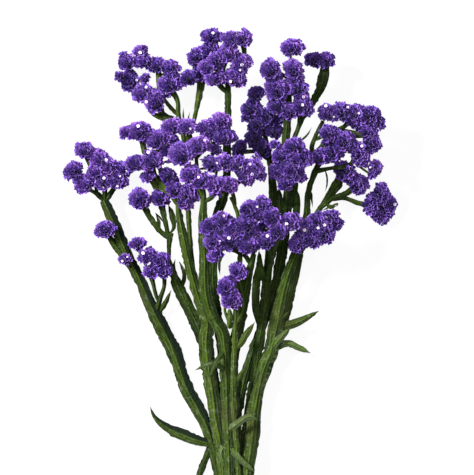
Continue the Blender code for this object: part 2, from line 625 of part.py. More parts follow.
def gap_between(pair):
    """The gap between a pair of tufts, each given as (centre, radius)."""
    (centre, radius), (other_centre, other_radius) = pair
    return (centre - other_centre).length - (radius + other_radius) * MM


def neck_ends(places):
    """Pairs of neighbouring tufts' middles, where only a neck joins the two into one spray."""
    joined = places[:1]
    left = places[1:]
    ends = []
    while left:
        one, other = min(((a, b) for a in joined for b in left), key=gap_between)
        joined.append(other)
        left.remove(other)
        if (one[0] - other[0]).length > NECK_SHARE * (one[1] + other[1]) * MM:
            ends.append((one[0], other[0]))
    return ends


def neck(name, start, end, grow):
    """A three-sided neck of buds between the cores of two tufts."""
    along = (end - start).normalized()
    side = along.cross(Vector((0.0, 0.0, 1.0))).normalized()
    down = along.cross(side).normalized()
    turns = [2.0 * math.pi * i / 3 for i in range(3)]
    size = (NECK_RADIUS + grow) * MM
    ring = [(side * math.cos(turn) + down * math.sin(turn)) * size for turn in turns]
    return tube(name, [[point + offset for offset in ring] for point in (start, end)])


def box_of(item):
    points = np.array([vert.co[:] for vert in item.data.vertices])
    return points.min(axis=0), points.max(axis=0)


def near(item, other):
    low, high = box_of(item)
    other_low, other_high = box_of(other)
    return bool(np.all(low < other_high) and np.all(other_low < high))


def cut_clear(item, grown):
    """Cuts the item clear of the grown bodies near it, and of the surface below."""
    cutters = []
    for piece in grown:
        if near(item, piece):
            copy = piece.copy()
            bpy.context.scene.collection.objects.link(copy)
            cutters.append(copy)
    if box_of(item)[0][2] < 0.0:
        cutters.append(ground())
    return combined(item, cutters, "DIFFERENCE")


def ground():
    """The space below the surface that the bunch lies on."""
    work = bmesh.new()
    bmesh.ops.create_cube(work, size=2.0)
    bmesh.ops.translate(work, verts=work.verts, vec=(0.0, 0.0, -1.0))
    mesh = bpy.data.meshes.new("ground")
    work.to_mesh(mesh)
    work.free()
    return finished("ground", mesh)


def coloured(item, name, colour, roughness):
    material = bpy.data.materials.new(name)
    material.use_nodes = True
    shader = material.node_tree.nodes["Principled BSDF"]
    shader.inputs["Base Color"].default_value = (*colour, 1.0)
    shader.inputs["Roughness"].default_value = roughness
    item.data.materials.clear()
    item.data.materials.append(material)
    item.name = name
    item.data.name = name


def set_aside(pieces):
    """Takes grown pieces out of the scene until they cut something."""
    for piece in pieces:
        bpy.context.scene.collection.objects.unlink(piece)
    return pieces


def main():
    clear_scene()
    laid = {}
    for name, route, kept_heights in STEMS:
        laid[name] = lay_stem(route, kept_heights, list(laid.values()))
    grown = []
    for name, line in laid.items():
        parts = stem_parts(name, line, 0.0)
        body = cut_clear(combined(parts[0], parts[1:], "UNION"), grown)
        stem = solid_bodies(body)[0]
        coloured(stem, name, GREENS[name], STEM_ROUGHNESS)
        grown += set_aside(stem_parts(name, line, CLEARANCE))
    for spray, fan, tufts in SPRAYS:
        parts = spray_tufts(spray, fan, tufts, 0.0)
        solids = solid_bodies(cut_clear(combined(parts[0], parts[1:], "UNION"), grown))
        for i, solid in enumerate(solids):
            coloured(solid, spray if len(solids) == 1 else f"{spray}_{i + 1}", VIOLET, HEAD_ROUGHNESS)
        grown += set_aside(spray_tufts(spray, fan, tufts, CLEARANCE))
    for piece in grown:
        bpy.data.objects.remove(piece)


main()
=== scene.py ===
"""The looks of a bunch of dried statice: fine winged stems and papery flower heads.

Each CAD node is replaced by a finer piece that grows from the same traced rows by the same
rules. Rows are in millimetres on a sheet: across from its left edge, down from its top edge,
and a height above the surface that the bunch lies on.
"""

import math
import zlib

import bpy
import numpy as np
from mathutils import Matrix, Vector


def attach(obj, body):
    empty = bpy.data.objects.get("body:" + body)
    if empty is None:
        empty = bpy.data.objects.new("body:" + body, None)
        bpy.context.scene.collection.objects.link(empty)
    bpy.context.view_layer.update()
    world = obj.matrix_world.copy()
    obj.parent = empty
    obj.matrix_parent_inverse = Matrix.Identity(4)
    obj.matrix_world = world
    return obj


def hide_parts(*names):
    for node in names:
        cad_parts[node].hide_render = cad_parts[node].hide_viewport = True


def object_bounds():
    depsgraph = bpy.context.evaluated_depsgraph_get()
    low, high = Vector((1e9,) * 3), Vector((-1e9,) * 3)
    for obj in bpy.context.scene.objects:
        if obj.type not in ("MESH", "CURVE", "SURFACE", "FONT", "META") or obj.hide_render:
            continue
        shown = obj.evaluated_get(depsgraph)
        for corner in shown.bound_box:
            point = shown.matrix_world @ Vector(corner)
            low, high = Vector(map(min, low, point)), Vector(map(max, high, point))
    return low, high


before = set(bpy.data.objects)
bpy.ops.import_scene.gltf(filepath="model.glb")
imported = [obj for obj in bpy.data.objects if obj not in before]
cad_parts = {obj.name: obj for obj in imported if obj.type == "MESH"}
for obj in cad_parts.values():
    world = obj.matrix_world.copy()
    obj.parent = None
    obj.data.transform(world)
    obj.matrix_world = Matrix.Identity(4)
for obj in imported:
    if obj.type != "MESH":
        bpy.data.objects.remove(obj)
CAD_BOX = np.array(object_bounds())

MM = 0.001
TINY = 1e-9
UP = np.array((0.0, 0.0, 1.0))
SHEET_CENTRE_ACROSS = 230.70
SHEET_CENTRE_DOWN = 275.57
PHOTO_CENTRE_ACROSS = 237.0
PHOTO_CENTRE_DOWN = 237.5
PHOTO_SIDE = 475.0
FOCUS_HEIGHT = 35.0
CAMERA_HEIGHT = 3.0

CLEARANCE = 0.35
STEM_HALF_HEIGHT = 2.8
STEM_CORE_SHARE = 0.24
WING_TIP_HALF_THICKNESS = 0.42
BRANCH_HALF_HEIGHT = 1.3
THICKEST_SHARE = 0.6
THINNEST_HALF_HEIGHT = 0.57
FLAT_DEPTH = 0.3
LAYING_SPACING = 4.0
LAYING_REACH = 16.0
STACK_SAMPLES = 25
OFF_THE_STEM = -100.0
HEAD_LIFT = 1.25
HEAD_SWELL = 1.12
FOOT_SHARE = 0.66
SEED = 12

# Main stems, from the bottom of the pile to its top: name, route as (across, down, width),
# and the heights that it keeps above the surface as (down, height).
STEMS = (
    ("stem_2",
     ((216, 505, 9), (218, 480, 10), (219, 460, 12), (218, 440, 13), (216, 410, 12), (213, 385, 13),
      (209, 360, 13), (203, 340, 13), (197, 326, 13), (188, 308, 12), (180, 292, 12), (172, 275, 10),
      (169, 262, 5), (170, 233, 7)),
     ((330, 3), (277, 13), (233, 24))),
    ("stem_9",
     ((236, 526, 9), (235, 490, 9), (234, 455, 9), (240, 400, 10), (254, 350, 10), (265, 320, 10),
      (275, 290, 11), (282, 255, 11), (287, 210, 10), (288, 190, 9), (286, 138, 8), (287, 125, 8),
      (289, 90, 6), (289, 62, 4)),
     ((400, 3), (255, 12), (190, 24), (138, 32), (62, 42))),
    ("stem_11",
     ((250, 512, 8), (249, 480, 8), (248, 450, 8), (255, 410, 8), (272, 360, 8), (288, 310, 8),
      (299, 260, 8), (307, 213, 7), (309, 190, 6), (315, 172, 6), (319, 161, 5), (312, 150, 5),
      (316, 135, 4), (323, 121, 4)),
     ((300, 3), (250, 10), (190, 24), (150, 34), (121, 38))),
    ("stem_1",
     ((226, 520, 10), (221, 490, 10), (217, 465, 12), (212, 445, 12), (206, 427, 13), (197, 410, 14),
      (186, 390, 14), (179, 370, 14), (172, 350, 15), (162, 330, 15), (151, 308, 13), (139, 280, 11),
      (127, 256, 11), (119, 238, 12), (111, 218, 12), (103, 200, 9)),
     ((330, 8), (256, 10), (198, 17))),
    ("stem_5",
     ((230, 508, 9), (229, 480, 9), (229, 455, 10), (230, 430, 10), (226, 400, 10), (222, 350, 10),
      (216, 310, 10), (213, 285, 9), (214, 250, 9), (217, 215, 9), (224, 195, 9), (227, 170, 8),
      (227, 140, 8), (228, 115, 7), (228, 84, 6)),
     ((300, 9), (195, 20), (84, 36))),
    ("stem_8",
     ((238, 515, 10), (240, 485, 10), (242, 455, 10), (247, 430, 10), (251, 400, 10), (256, 370, 10),
      (260, 340, 10), (264, 310, 10), (267, 280, 9), (270, 240, 8), (273, 200, 9), (271, 168, 7),
      (266, 140, 5), (262, 115, 4)),
     ((300, 9), (200, 18), (115, 24))),
    ("stem_3",
     ((226, 524, 10), (225, 495, 11), (222, 465, 12), (219, 440, 13), (215, 418, 14), (213, 400, 14),
      (210, 380, 15), (207, 360, 16), (206, 340, 15), (207, 323, 14), (202, 308, 12), (196, 290, 11),
      (190, 268, 10), (184, 240, 10), (180, 220, 8), (178, 202, 5)),
     ((340, 15), (268, 27), (202, 42))),
    ("stem_7",
     ((232, 527, 10), (234, 495, 10), (236, 465, 10), (236, 430, 10), (233, 385, 11), (234, 350, 12),
      (240, 320, 12), (243, 300, 12), (246, 285, 11), (250, 268, 8), (254, 254, 5)),
     ((340, 16), (300, 28), (254, 46))),
    ("stem_10",
     ((244, 520, 11), (245, 495, 12), (248, 468, 14), (252, 440, 15), (255, 412, 14), (259, 390, 13),
      (264, 370, 14), (272, 350, 15), (276, 330, 16), (280, 310, 15), (284, 290, 13), (290, 270, 11),
      (297, 250, 9)),
     ((350, 15), (290, 24), (250, 36))),
    ("stem_4",
     ((231, 518, 10), (230, 490, 10), (229, 465, 11), (228, 440, 12), (227, 410, 12), (226, 380, 13),
      (225, 350, 14), (222, 332, 14), (214, 320, 13), (208, 305, 13), (205, 285, 13), (205, 262, 12),
      (204, 240, 11), (203, 220, 9), (204, 198, 6)),
     ((330, 23), (265, 38), (198, 54))),
    ("stem_6",
     ((238, 500, 6), (238, 470, 6), (236, 440, 6), (233, 400, 6), (234, 360, 6), (235, 335, 6),
      (236, 310, 6), (238, 285, 5), (240, 262, 5), (240, 240, 4), (238, 215, 4), (231, 197, 4)),
     ((400, 23), (330, 32), (262, 38), (197, 46))),
)

# Side stems, stalks, leaves and bracts of each stem, as (across, down, height, width). A first
# height of 0 is read from the stem, and a last height of 0 ends the stalk in a tuft's foot.
SIDE_STEMS = {
    "stem_1": (
        ((104, 202, 0, 7), (97, 194, 17, 5), (90, 190, 19, 4), (83, 187, 0, 5)),
        ((104, 202, 0, 7), (104, 193, 18, 5), (101, 185, 0, 7)),
        ((104, 202, 0, 7), (112, 190, 18, 5), (121, 183, 0, 6)),
        ((92, 191, 18, 4), (83, 183, 17, 4), (75, 174, 0, 6)),
        ((97, 195, 17, 4), (92, 172, 20, 4), (87, 159, 0, 7)),
        ((130, 268, 0, 9), (122, 256, 9, 8), (112, 242, 12, 7), (106, 233, 0, 4)),
        ((130, 270, 0, 4), (128, 265, 14, 3), (126, 262, 0, 4)),
        ((156, 312, 0, 7), (160, 298, 14, 5), (164, 285, 18, 4), (165, 275, 0, 5)),
        ((158, 304, 12, 4), (154, 290, 15, 4), (150, 278, 0, 5)),
        ((152, 285, 14, 3), (145, 265, 18, 3), (139, 247, 0, 5)),
        ((154, 306, 0, 4), (147, 298, 8, 4), (140, 288, 7, 1.2)),
        ((160, 312, 0, 6), (165, 303, 13, 5), (171, 290, 15, 1.2)),
        ((213, 446, 0, 7), (200, 443, 9, 10), (181, 436, 8, 12), (164, 428, 6, 8), (154, 419, 5, 4),
         (149, 408, 5, 1.2)),
    ),
    "stem_2": (
        ((169, 240, 0, 5), (154, 224, 24, 6), (139, 209, 0, 7)),
        ((169, 240, 0, 4), (165, 222, 25, 5), (161, 205, 0, 7)),
        ((177, 285, 0, 4), (173, 268, 15, 4), (175, 259, 16, 1.2)),
        ((160, 230, 24, 3), (158, 220, 21, 3), (155, 213, 19, 1.2)),
        ((180, 290, 0, 5), (184, 276, 16, 4), (179, 262, 18, 1.2)),
        ((217, 436, 0, 8), (207, 456, 3.4, 7), (200, 474, 3, 7), (196, 492, 3, 6)),
    ),
    "stem_3": (
        ((180, 208, 0, 5), (172, 196, 43, 5), (163, 184, 43, 8), (155, 175, 44, 5), (150, 168, 0, 5)),
        ((155, 176, 44, 5), (147, 158, 44, 5), (140, 142, 0, 7)),
        ((163, 186, 43, 5), (160, 165, 44, 5), (158, 150, 0, 6)),
        ((172, 196, 43, 5), (164, 187, 40, 10), (155, 182, 38, 12), (147, 181, 38, 2)),
        ((178, 204, 0, 4), (178, 197, 43, 4), (177, 193, 0, 5)),
        ((197, 300, 0, 6), (192, 262, 21, 5), (188, 210, 20, 5), (186, 160, 19, 5), (183, 135, 18, 5),
         (178, 114, 17, 5), (177, 100, 18, 5), (173, 88, 0, 7)),
        ((179, 116, 17, 5), (168, 104, 16, 4), (160, 92, 16, 4), (151, 76, 0, 6)),
        ((186, 142, 18, 5), (193, 122, 18, 4), (198, 100, 18, 6), (201, 80, 0, 9)),
        ((164, 99, 16, 4), (152, 92, 14, 4), (136, 84, 0, 6)),
        ((180, 119, 17, 4), (163, 114, 15, 6), (151, 109, 0, 8)),
        ((159, 90, 16, 4), (160, 78, 16, 4), (160, 70, 0, 5)),
    ),
    "stem_4": (
        ((204, 205, 0, 6), (204, 192, 54, 5), (202, 183, 0, 6)),
        ((204, 203, 0, 5), (213, 196, 55, 5), (218, 190, 0, 6)),
        ((204, 203, 0, 5), (196, 180, 52, 5), (188, 160, 0, 6)),
        ((197, 182, 52, 4), (196, 155, 52, 4), (186, 135, 0, 6)),
        ((214, 196, 55, 4), (228, 188, 55, 4), (242, 178, 0, 5)),
        ((196, 160, 52, 4), (206, 148, 52, 4), (218, 138, 0, 6)),
        ((225, 352, 0, 6), (216, 362, 25, 5), (209, 378, 25, 1.2)),
        ((226, 372, 0, 5), (212, 364, 24, 5), (194, 371, 24, 1.2)),
        ((229, 448, 0, 7), (240, 460, 24, 6), (254, 473, 23, 5)),
        ((228, 432, 0, 8), (238, 424, 25, 8), (250, 417, 27, 6), (258, 421, 28, 1.4)),
    ),
    "stem_5": (
        ((228, 88, 0, 6), (223, 72, 36, 6), (218, 62, 0, 8)),
        ((228, 94, 0, 5), (223, 89, 36, 5), (213, 80, 0, 6)),
        ((228, 88, 0, 5), (236, 76, 37, 5), (240, 66, 0, 6)),
        ((235, 78, 37, 4), (244, 58, 40, 4), (245, 42, 0, 7)),
        ((223, 72, 36, 4), (226, 62, 37, 4), (228, 54, 0, 5)),
    ),
    "stem_6": (
        ((235, 330, 0, 5), (227, 317, 34, 3), (225, 308, 37, 3), (229, 300, 0, 4)),
        ((236, 325, 0, 5), (243, 310, 36, 3), (242, 290, 40, 3), (239, 277, 0, 4)),
        ((235, 350, 0, 6), (243, 340, 31, 7), (250, 326, 33, 1.4)),
        ((234, 385, 0, 5), (240, 376, 26, 5), (247, 366, 27, 1.4)),
        ((236, 205, 0, 4), (232, 193, 48, 4), (229, 186, 0, 5)),
    ),
    "stem_7": (
        ((252, 266, 0, 5), (240, 250, 47, 5), (231, 240, 0, 7)),
        ((254, 258, 0, 5), (252, 245, 48, 5), (248, 232, 0, 8)),
        ((246, 257, 46, 4), (228, 248, 45, 4), (216, 247, 0, 6)),
    ),
    "stem_8": (
        ((267, 284, 0, 6), (271, 264, 28, 6), (274, 250, 42, 6), (277, 236, 0, 7)),
        ((268, 160, 0, 4), (258, 152, 19, 4), (248, 149, 0, 5)),
        ((272, 264, 30, 4), (270, 253, 42, 4), (269, 238, 0, 5)),
        ((262, 332, 0, 6), (256, 308, 14, 8), (257, 280, 19, 8), (261, 254, 24, 4)),
    ),
    "stem_9": (
        ((288, 212, 0, 7), (295, 190, 23, 6), (295, 138, 24, 5), (302, 120, 24, 5), (316, 97, 24, 8),
         (323, 80, 26, 11), (325, 66, 0, 9)),
        ((287, 206, 0, 5), (287, 197, 36, 5), (285, 184, 0, 6)),
        ((287, 150, 0, 5), (297, 132, 40, 4), (303, 118, 0, 6)),
        ((289, 104, 0, 5), (284, 99, 41, 4), (272, 84, 0, 7)),
        ((289, 80, 0, 4), (280, 74, 42, 4), (271, 70, 0, 6)),
    ),
    "stem_10": (
        ((297, 256, 0, 7), (305, 238, 34, 6), (314, 218, 28, 5), (326, 200, 23, 6), (336, 186, 20, 10),
         (340, 178, 0, 8)),
        ((322, 208, 26, 5), (333, 198, 22, 5), (345, 194, 18, 6), (357, 185, 0, 7)),
        ((330, 200, 23, 4), (345, 198, 15, 4), (360, 203, 13, 5), (376, 203, 0, 6)),
        ((298, 254, 0, 6), (305, 246, 37, 5), (311, 240, 0, 7)),
        ((296, 258, 0, 6), (300, 244, 38, 6), (304, 228, 0, 7)),
        ((308, 234, 36, 4), (320, 236, 40, 4), (327, 233, 0, 5)),
        ((279, 328, 0, 8), (295, 324, 17, 9), (308, 318, 16, 6), (320, 311, 15, 1.4)),
        ((272, 350, 0, 8), (288, 344, 14, 7), (300, 349, 12, 6), (311, 354, 11, 3)),
        ((270, 352, 0, 7), (283, 336, 20, 7), (291, 328, 19, 3)),
        ((277, 325, 0, 4), (284, 317, 20, 4), (291, 310, 21, 1.2)),
        ((325, 203, 24, 4), (332, 207, 26, 4), (337, 206, 27, 1.2)),
    ),
    "stem_11": (
        ((314, 154, 0, 5), (321, 147, 38, 5), (329, 139, 0, 6)),
        ((314, 170, 0, 6), (322, 161, 34, 4), (340, 154, 0, 6)),
        ((316, 140, 0, 5), (330, 132, 36, 5), (342, 128, 36, 5), (352, 122, 0, 7)),
        ((334, 131, 36, 4), (352, 134, 35, 8), (364, 137, 0, 7)),
        ((312, 172, 0, 6), (332, 168, 36, 4), (350, 165, 38, 5), (359, 158, 0, 6)),
    ),
}

# Flower sprays: name, the point that its tufts fan out from as (across, down), and the tufts
# as (across, down, height, radius).
SPRAYS = (
    ("heads_far_left", (104, 205),
     ((84, 149, 29, 9.5), (72, 170, 26, 10), (99, 157, 30, 10), (84, 184, 27, 10), (96, 171, 29, 9),
      (109, 165, 30, 9), (103, 181, 28, 9), (124, 168, 29, 8), (119, 180, 28, 9))),
    ("heads_left_side", (120, 262), ((104, 229, 19, 10),)),
    ("heads_left_bud", (128, 274), ((124.5, 259, 25, 6.5),)),
    ("heads_low_left", (152, 305),
     ((137, 243, 27, 8), (148, 255, 27, 8.5), (161, 259, 28, 8.5), (151, 271, 26, 8),
      (165, 270, 28, 8))),
    ("heads_small_left", (160, 230), ((139, 198, 33, 12),)),
    ("heads_small_right", (166, 228), ((160, 197, 34, 10),)),
    ("heads_upper_left", (172, 212),
     ((176, 189, 52, 9.5), (189, 193, 52, 10), (168, 175, 52, 9), (151, 161, 53, 12),
      (135, 163, 53, 9.5), (158, 139, 54, 12), (139, 131, 54, 11))),
    ("heads_middle", (208, 214),
     ((190, 174, 67, 10), (201, 181, 67, 9), (214, 184, 67, 10), (229, 184, 66, 9.5), (246, 177, 65, 9),
      (256, 168, 65, 9.5), (240, 165, 67, 10), (226, 163, 68, 9), (212, 164, 68, 9.5),
      (181, 154, 66, 13), (199, 146, 67, 11), (187, 127, 65, 10), (172, 127, 63, 10), (206, 128, 65, 9),
      (222, 121, 66, 9.5), (225, 137, 66, 11))),
    ("heads_top_left", (166, 112),
     ((140, 50, 22, 7.5), (126, 61, 20, 9), (143, 60, 22, 9), (157, 64, 22, 9), (171, 66, 22, 9),
      (128, 79, 8.4, 11.5), (170, 82, 22, 12), (141, 92, 20, 10.5), (154, 99, 23, 12))),
    ("heads_top_back", (200, 110),
     ((188, 77, 26, 9), (202, 71, 27, 10), (197, 55, 28, 10), (210, 50, 29, 10), (212, 35, 29, 10))),
    ("heads_top", (228, 106),
     ((207, 67, 48, 9), (215, 78, 47, 10), (216, 60, 49, 9), (229, 53, 49, 10), (243, 62, 49, 9.5),
      (236, 77, 47, 11), (231, 39, 49, 9), (244, 38, 49, 9))),
    ("heads_inner_back", (264, 166),
     ((256, 93, 29, 9), (251, 108, 30, 10), (267, 115, 31, 9), (257, 123, 30, 9),
      (254, 136, 29, 9.5), (275, 130, 29, 9), (239, 149, 29, 9), (262, 148, 29, 10))),
    ("heads_upper_right", (289, 132),
     ((292, 48, 52, 11), (293, 69, 52, 11), (270, 69, 52, 11), (276, 88, 52, 13), (276, 106, 51, 9.5),
      (291, 111, 51, 9.5), (304, 106, 52, 11), (298, 88, 52, 11))),
    ("heads_right_bud", (326, 96), ((313, 59, 31, 8.5), (326, 59, 31, 9))),
    ("heads_inner_right", (288, 206),
     ((294, 146, 55, 10), (303, 157, 55, 10), (281, 156, 53, 9), (278, 171, 53, 9), (293, 168, 57, 11),
      (286, 182, 53, 9))),
    ("heads_right", (318, 168),
     ((328, 113, 46, 10), (342, 111, 47, 10), (356, 113, 47, 10), (371, 115, 45, 11),
      (329, 133, 47, 10), (346, 141, 48, 11), (369, 132, 46, 10), (374, 144, 45, 9), (361, 155, 47, 12),
      (375, 169, 45, 8), (321, 156, 45, 10), (334, 154, 46, 9.5))),
    ("heads_far_right", (330, 206),
     ((345, 170, 24, 11.5), (360, 184, 22, 11), (383, 193, 19, 10.5), (388, 206, 9.2, 12),
      (373, 205, 18, 10))),
    ("heads_front_left", (252, 272),
     ((209, 226, 55, 10), (212, 241, 56, 10), (222, 220, 57, 9.5), (232, 228, 58, 10.5),
      (229, 242, 58, 9.5), (246, 224, 60, 12), (249, 244, 59, 11), (249, 208, 59, 9), (262, 204, 57, 9))),
    ("heads_front_middle", (272, 274),
     ((266, 240, 61, 9), (271, 216, 60, 10), (279, 229, 62, 10), (291, 221, 60, 10))),
    ("heads_front_right", (300, 262),
     ((297, 243, 51, 9.5), (305, 227, 51, 10), (313, 239, 51, 9.5), (318, 220, 50, 9.5),
      (331, 217, 49, 8.5), (327, 233, 50, 10))),
    ("heads_low_middle", (236, 322),
     ((238, 270, 51, 9), (227, 285, 50, 10), (231, 299, 49, 10))),
)

# How much lighter each spray's violet is.
SPRAY_TONES = {
    "heads_top_back": -0.12, "heads_inner_back": -0.32, "heads_top_left": -0.02, "heads_top": 0.12,
    "heads_middle": 0.12, "heads_upper_left": 0.09, "heads_far_left": 0.10, "heads_front_left": -0.02,
    "heads_front_right": -0.05, "heads_inner_right": 0.0, "heads_right": -0.08,
    "heads_far_right": -0.02, "heads_low_middle": 0.06, "heads_right_bud": -0.15,
}

# How much lighter and how much warmer each stem's green is, and how strongly painted shade darkens
# its right wing, or its left one where that is below zero.
STEM_TONES = {
    "stem_1": (-0.22, 0.15, 0.93), "stem_2": (-0.3, 0.0, -0.4), "stem_3": (0.2, 0.4, 0.6),
    "stem_4": (0.0, 0.15, 0.5), "stem_5": (-0.35, -0.2, 0.3), "stem_6": (0.4, 0.3, 0.2),
    "stem_7": (-0.3, 0.0, 0.3), "stem_8": (-0.3, -0.1, 0.0), "stem_9": (-0.35, -0.1, 0.3),
    "stem_10": (0.15, 0.2, 0.45), "stem_11": (-0.35, -0.1, 0.0),
}

# Tufts that are lighter or darker than their spray, by their place as (across, down).
TUFT_TONES = {
    (222, 121): 0.35, (229, 184): 0.1, (199, 146): 0.12, (158, 139): 0.1, (212, 164): -0.2, (135, 163): -0.3,
    (168, 175): -0.3, (202, 71): -0.15, (188, 77): -0.12, (229, 242): -0.3, (99, 157): 0.15,
    (109, 165): 0.15, (140, 50): 0.2, (141, 92): 0.12, (249, 244): 0.1, (231, 299): 0.1,
    (276, 106): -0.2, (281, 156): -0.2, (334, 154): -0.15,
}

# Open white corollas, as (across, down).
COROLLAS = (
    (140, 52), (137, 79), (145, 102), (149, 83), (139, 127), (191, 130), (148, 149), (207, 140),
    (106, 160), (127, 171), (120, 176), (104, 178), (103, 188), (117, 187), (199, 178), (213, 33),
    (242, 66), (240, 71), (230, 83), (303, 98), (302, 106), (217, 164), (250, 165), (258, 173),
    (252, 175), (143, 253), (122, 261), (127, 257), (224, 216), (257, 207), (286, 224), (304, 230),
    (317, 228), (324, 225), (229, 238), (220, 241), (267, 236), (325, 106), (347, 108), (336, 120),
    (361, 142), (358, 114), (367, 167), (396, 204),
)

# Small tufts that fill the sprays, as (across, down, height, radius).
FILLERS = {
    "heads_upper_left": ((187, 203, 50, 8), (196, 195, 50, 7), (148, 176, 48, 7), (126, 132, 52, 7),
                         (171, 140, 52, 7.5), (167, 151, 51, 7), (175, 159, 50, 6)),
    "heads_middle": ((213, 134, 63, 8), (260, 175, 62, 7), (215, 190, 64, 7), (216, 150, 60, 6.5),
                     (257, 158, 60, 5)),
    "heads_top_left": ((144, 77, 18, 6), (165, 92, 20, 6), (118, 75, 18, 5.5), (122, 54, 18, 5)),
    "heads_inner_back": ((247, 116, 27, 6), (272, 127, 29, 6), (280, 119, 29, 6)),
    "heads_inner_right": ((298, 175, 54, 8), (275, 145, 50, 6)),
    "heads_right": ((378, 122, 43, 8), (357, 124, 44, 8), (367, 128, 44, 7), (329, 143, 44, 7),
                    (372, 143, 43, 8), (350, 172, 43, 6), (372, 174, 42, 5.5)),
    "heads_far_right": ((394, 203, 9, 5.5), (380, 214, 10, 9), (386, 221, 9, 5), (368, 206, 14, 6)),
    "heads_front_left": ((215, 254, 53, 8), (259, 217, 58, 6.5), (221, 232, 55, 6), (258, 236, 58, 5.5)),
    "heads_low_middle": ((233, 278, 50, 6.5),),
    "heads_front_right": ((335, 223, 47, 8), (262, 227, 47, 6.5)),
    "heads_far_left": ((114, 166, 27, 7),),
    "heads_right_bud": ((311, 59, 29, 7), (327, 59, 29, 7)),
}

# Slender bracts and leaflets of the stem nearest their start, as rows of (across, down, width).
BRACTS = (
    ((183, 122, 2), (183, 115, 1.8), (183, 107, 0.8)), ((187, 125, 2), (188, 118, 1.8), (190, 111, 0.8)),
    ((300, 140, 2.2), (307, 135, 1.8), (312, 127, 0.8)), ((311, 192, 1.8), (312, 200, 1.8), (313, 208, 0.8)),
    ((327, 177, 1.8), (327, 184, 1.6), (325, 192, 0.8)), ((338, 204, 2.2), (330, 207, 2.0), (321, 211, 0.8)),
    ((156, 213, 2), (160, 218, 1.8), (164, 224, 0.8)), ((173, 260, 2), (174, 265, 1.8), (176, 272, 0.8)),
    ((179, 260, 2), (182, 267, 1.8), (187, 276, 0.8)), ((221, 254, 2.5), (219, 264, 3), (220, 276, 1)),
    ((173, 117, 5), (160, 116, 6.5), (147, 111, 1)), ((237, 346, 3), (246, 335, 7), (255, 322, 2)),
    ((230, 328, 3), (230, 316, 6), (229, 305, 1)), ((293, 224, 5), (297, 206, 8), (297, 188, 3)),
    ((282, 218, 5), (280, 202, 7), (279, 186, 3)), ((173, 229, 4), (172, 216, 6), (168, 204, 2)),
    ((262, 279, 4), (260, 264, 6), (259, 250, 2)), ((225, 471, 5), (221, 455, 8), (231, 437, 2)),
)

# Leaves and bracts that are paler than their stem, by where they start or end as (across, down).
PALE = {(228, 432): 0.55, (229, 448): 0.6, (272, 350): 0.6, (270, 352): 0.35, (226, 372): 0.6,
        (225, 352): 0.3, (231, 437): 0.5}
# Where the edges of main stems are broken: how far down, left or right, how long and how deep.
BITES = {"stem_10": ((363, 1, 2.5, 0.65), (389, 1, 9.0, 0.22)), "stem_2": ((277, -1, 2.5, 0.6),)}
BANDED_STEM = "stem_10"
BANDED_DOWNS = (328.0, 402.0)
BAND_SPACING = 6.5
BAND_TONE = 0.9
BAND_GAIN = 3.0
BAND_OFFSET = 1.2
CUT_TONE = 1.0

# Fine strips: how far apart their rows are, and where the points of a row lie to each side.
STEM_STEP = 1.6
STEM_SHARES = (0.09, 0.16, 0.24, 0.34, 0.44, 0.5, 0.56, 0.64, 0.76, 0.88, 0.97, 1)
BRANCH_STEP = 1.3
BRANCH_SHARES = (0.12, 0.3, 0.5, 0.7, 0.9, 1)
LEAST_HALF_WIDTH = 0.5
BRANCH_EDGE = 0.12
MIDRIB_WIDTH = 0.15
STEM_MIDRIB = 0.30
BRANCH_MIDRIB = 0.35
SIDE_RIB = 0.16
SIDE_RIB_PLACE = 0.52
SIDE_RIB_WIDTH = 0.09
# Their edges wave and tear outside this share of their width.
STILL_SHARE = 0.2
STEM_WAVE = 1.6
BRANCH_WAVE = 0.8
WAVE_SPACING = 11.0
SWELL_SHARE = 0.09
TOOTH_SPACING = 2.4
TOOTH_SHARE = 0.24
ROOT_SHARE = 0.45
ROOT_LENGTH = 12.0
FREE_SHARE = 0.12
FREE_LENGTH = 7.0

BRACT_LIFT = 1.5
BRACT_GAP = 2.0
SIDE_STEP = 2.0
# Slender stalks: how wide and long they are, how far they sag, and how far above the tuft's foot
# they may start.
STALK_WIDTH = 2.4
STALK_LENGTHS = (2.0, 60.0)
STALK_SAG = 0.12
ABOVE_FOOT = 1.0

# A crevice is between tufts this far apart, as shares of their radii, and about level.
CREVICE_SHARES = (0.5, 0.95)
CREVICE_RISE = 5
FILLER_SHARE = 0.74
FILLER_DROP = 0.06

CALYCES_PER_AREA = 0.40
LEAST_CALYCES = 6
CALYX_RADIUS = 2.3
CALYX_SHARE = 0.26
CALYX_SIDES = 15
CALYX_LOBES = 5
# Rings of a calyx from its base to its rim: how far up it, its radius, and how crinkled.
CALYX_RINGS = ((0.0, 0.12, 0.0), (0.53, 0.27, 0.0), (0.80, 0.70, 0.35), (1.0, 1.14, 1.0))
CALYX_BOW = 1.3
# How far its rim goes out and up at its lobes, at its pleats and where it is ragged.
LOBE_WIDTH = 0.20
PLEAT_WIDTH = 0.05
RAGGED_WIDTH = 0.6
LOBE_RISE = 0.45
PLEAT_RISE = 0.50
RAGGED_SOFTNESS = 1.8
RISE_SOFTNESS = 3.5
DOME_SPREAD = 0.78
DOME_HEIGHT = 0.56
DOME_SINK = 0.06
DOME_TURN = math.radians(106)
DOME_STRETCH = 0.14
DOME_FOOT = 0.7
CROWDED_SHARE = 0.62
ANY_TURN = 6.28
GOLDEN_TURN = math.pi * (3 - math.sqrt(5))

COROLLA_RADIUS = 2.0
COROLLA_SIDES = 40
PETALS = 5
PETAL_SKEW = (0.3, 0.9, 0.1)
# Rings of a corolla from its throat to its rim: their share of its radius, and their height.
COROLLA_RINGS = ((0.16, -0.5), (0.42, -0.06), (0.75, 0.12), (1.0, 0.0))
PETAL_CUT = 0.42
PETAL_ROUNDNESS = 0.6
PETAL_CURL = 0.18
NOTCH_DEPTH = 0.12
NOTCH_WIDTH = 0.002
COROLLA_REACH = 0.62
COROLLA_LIFT = 0.3
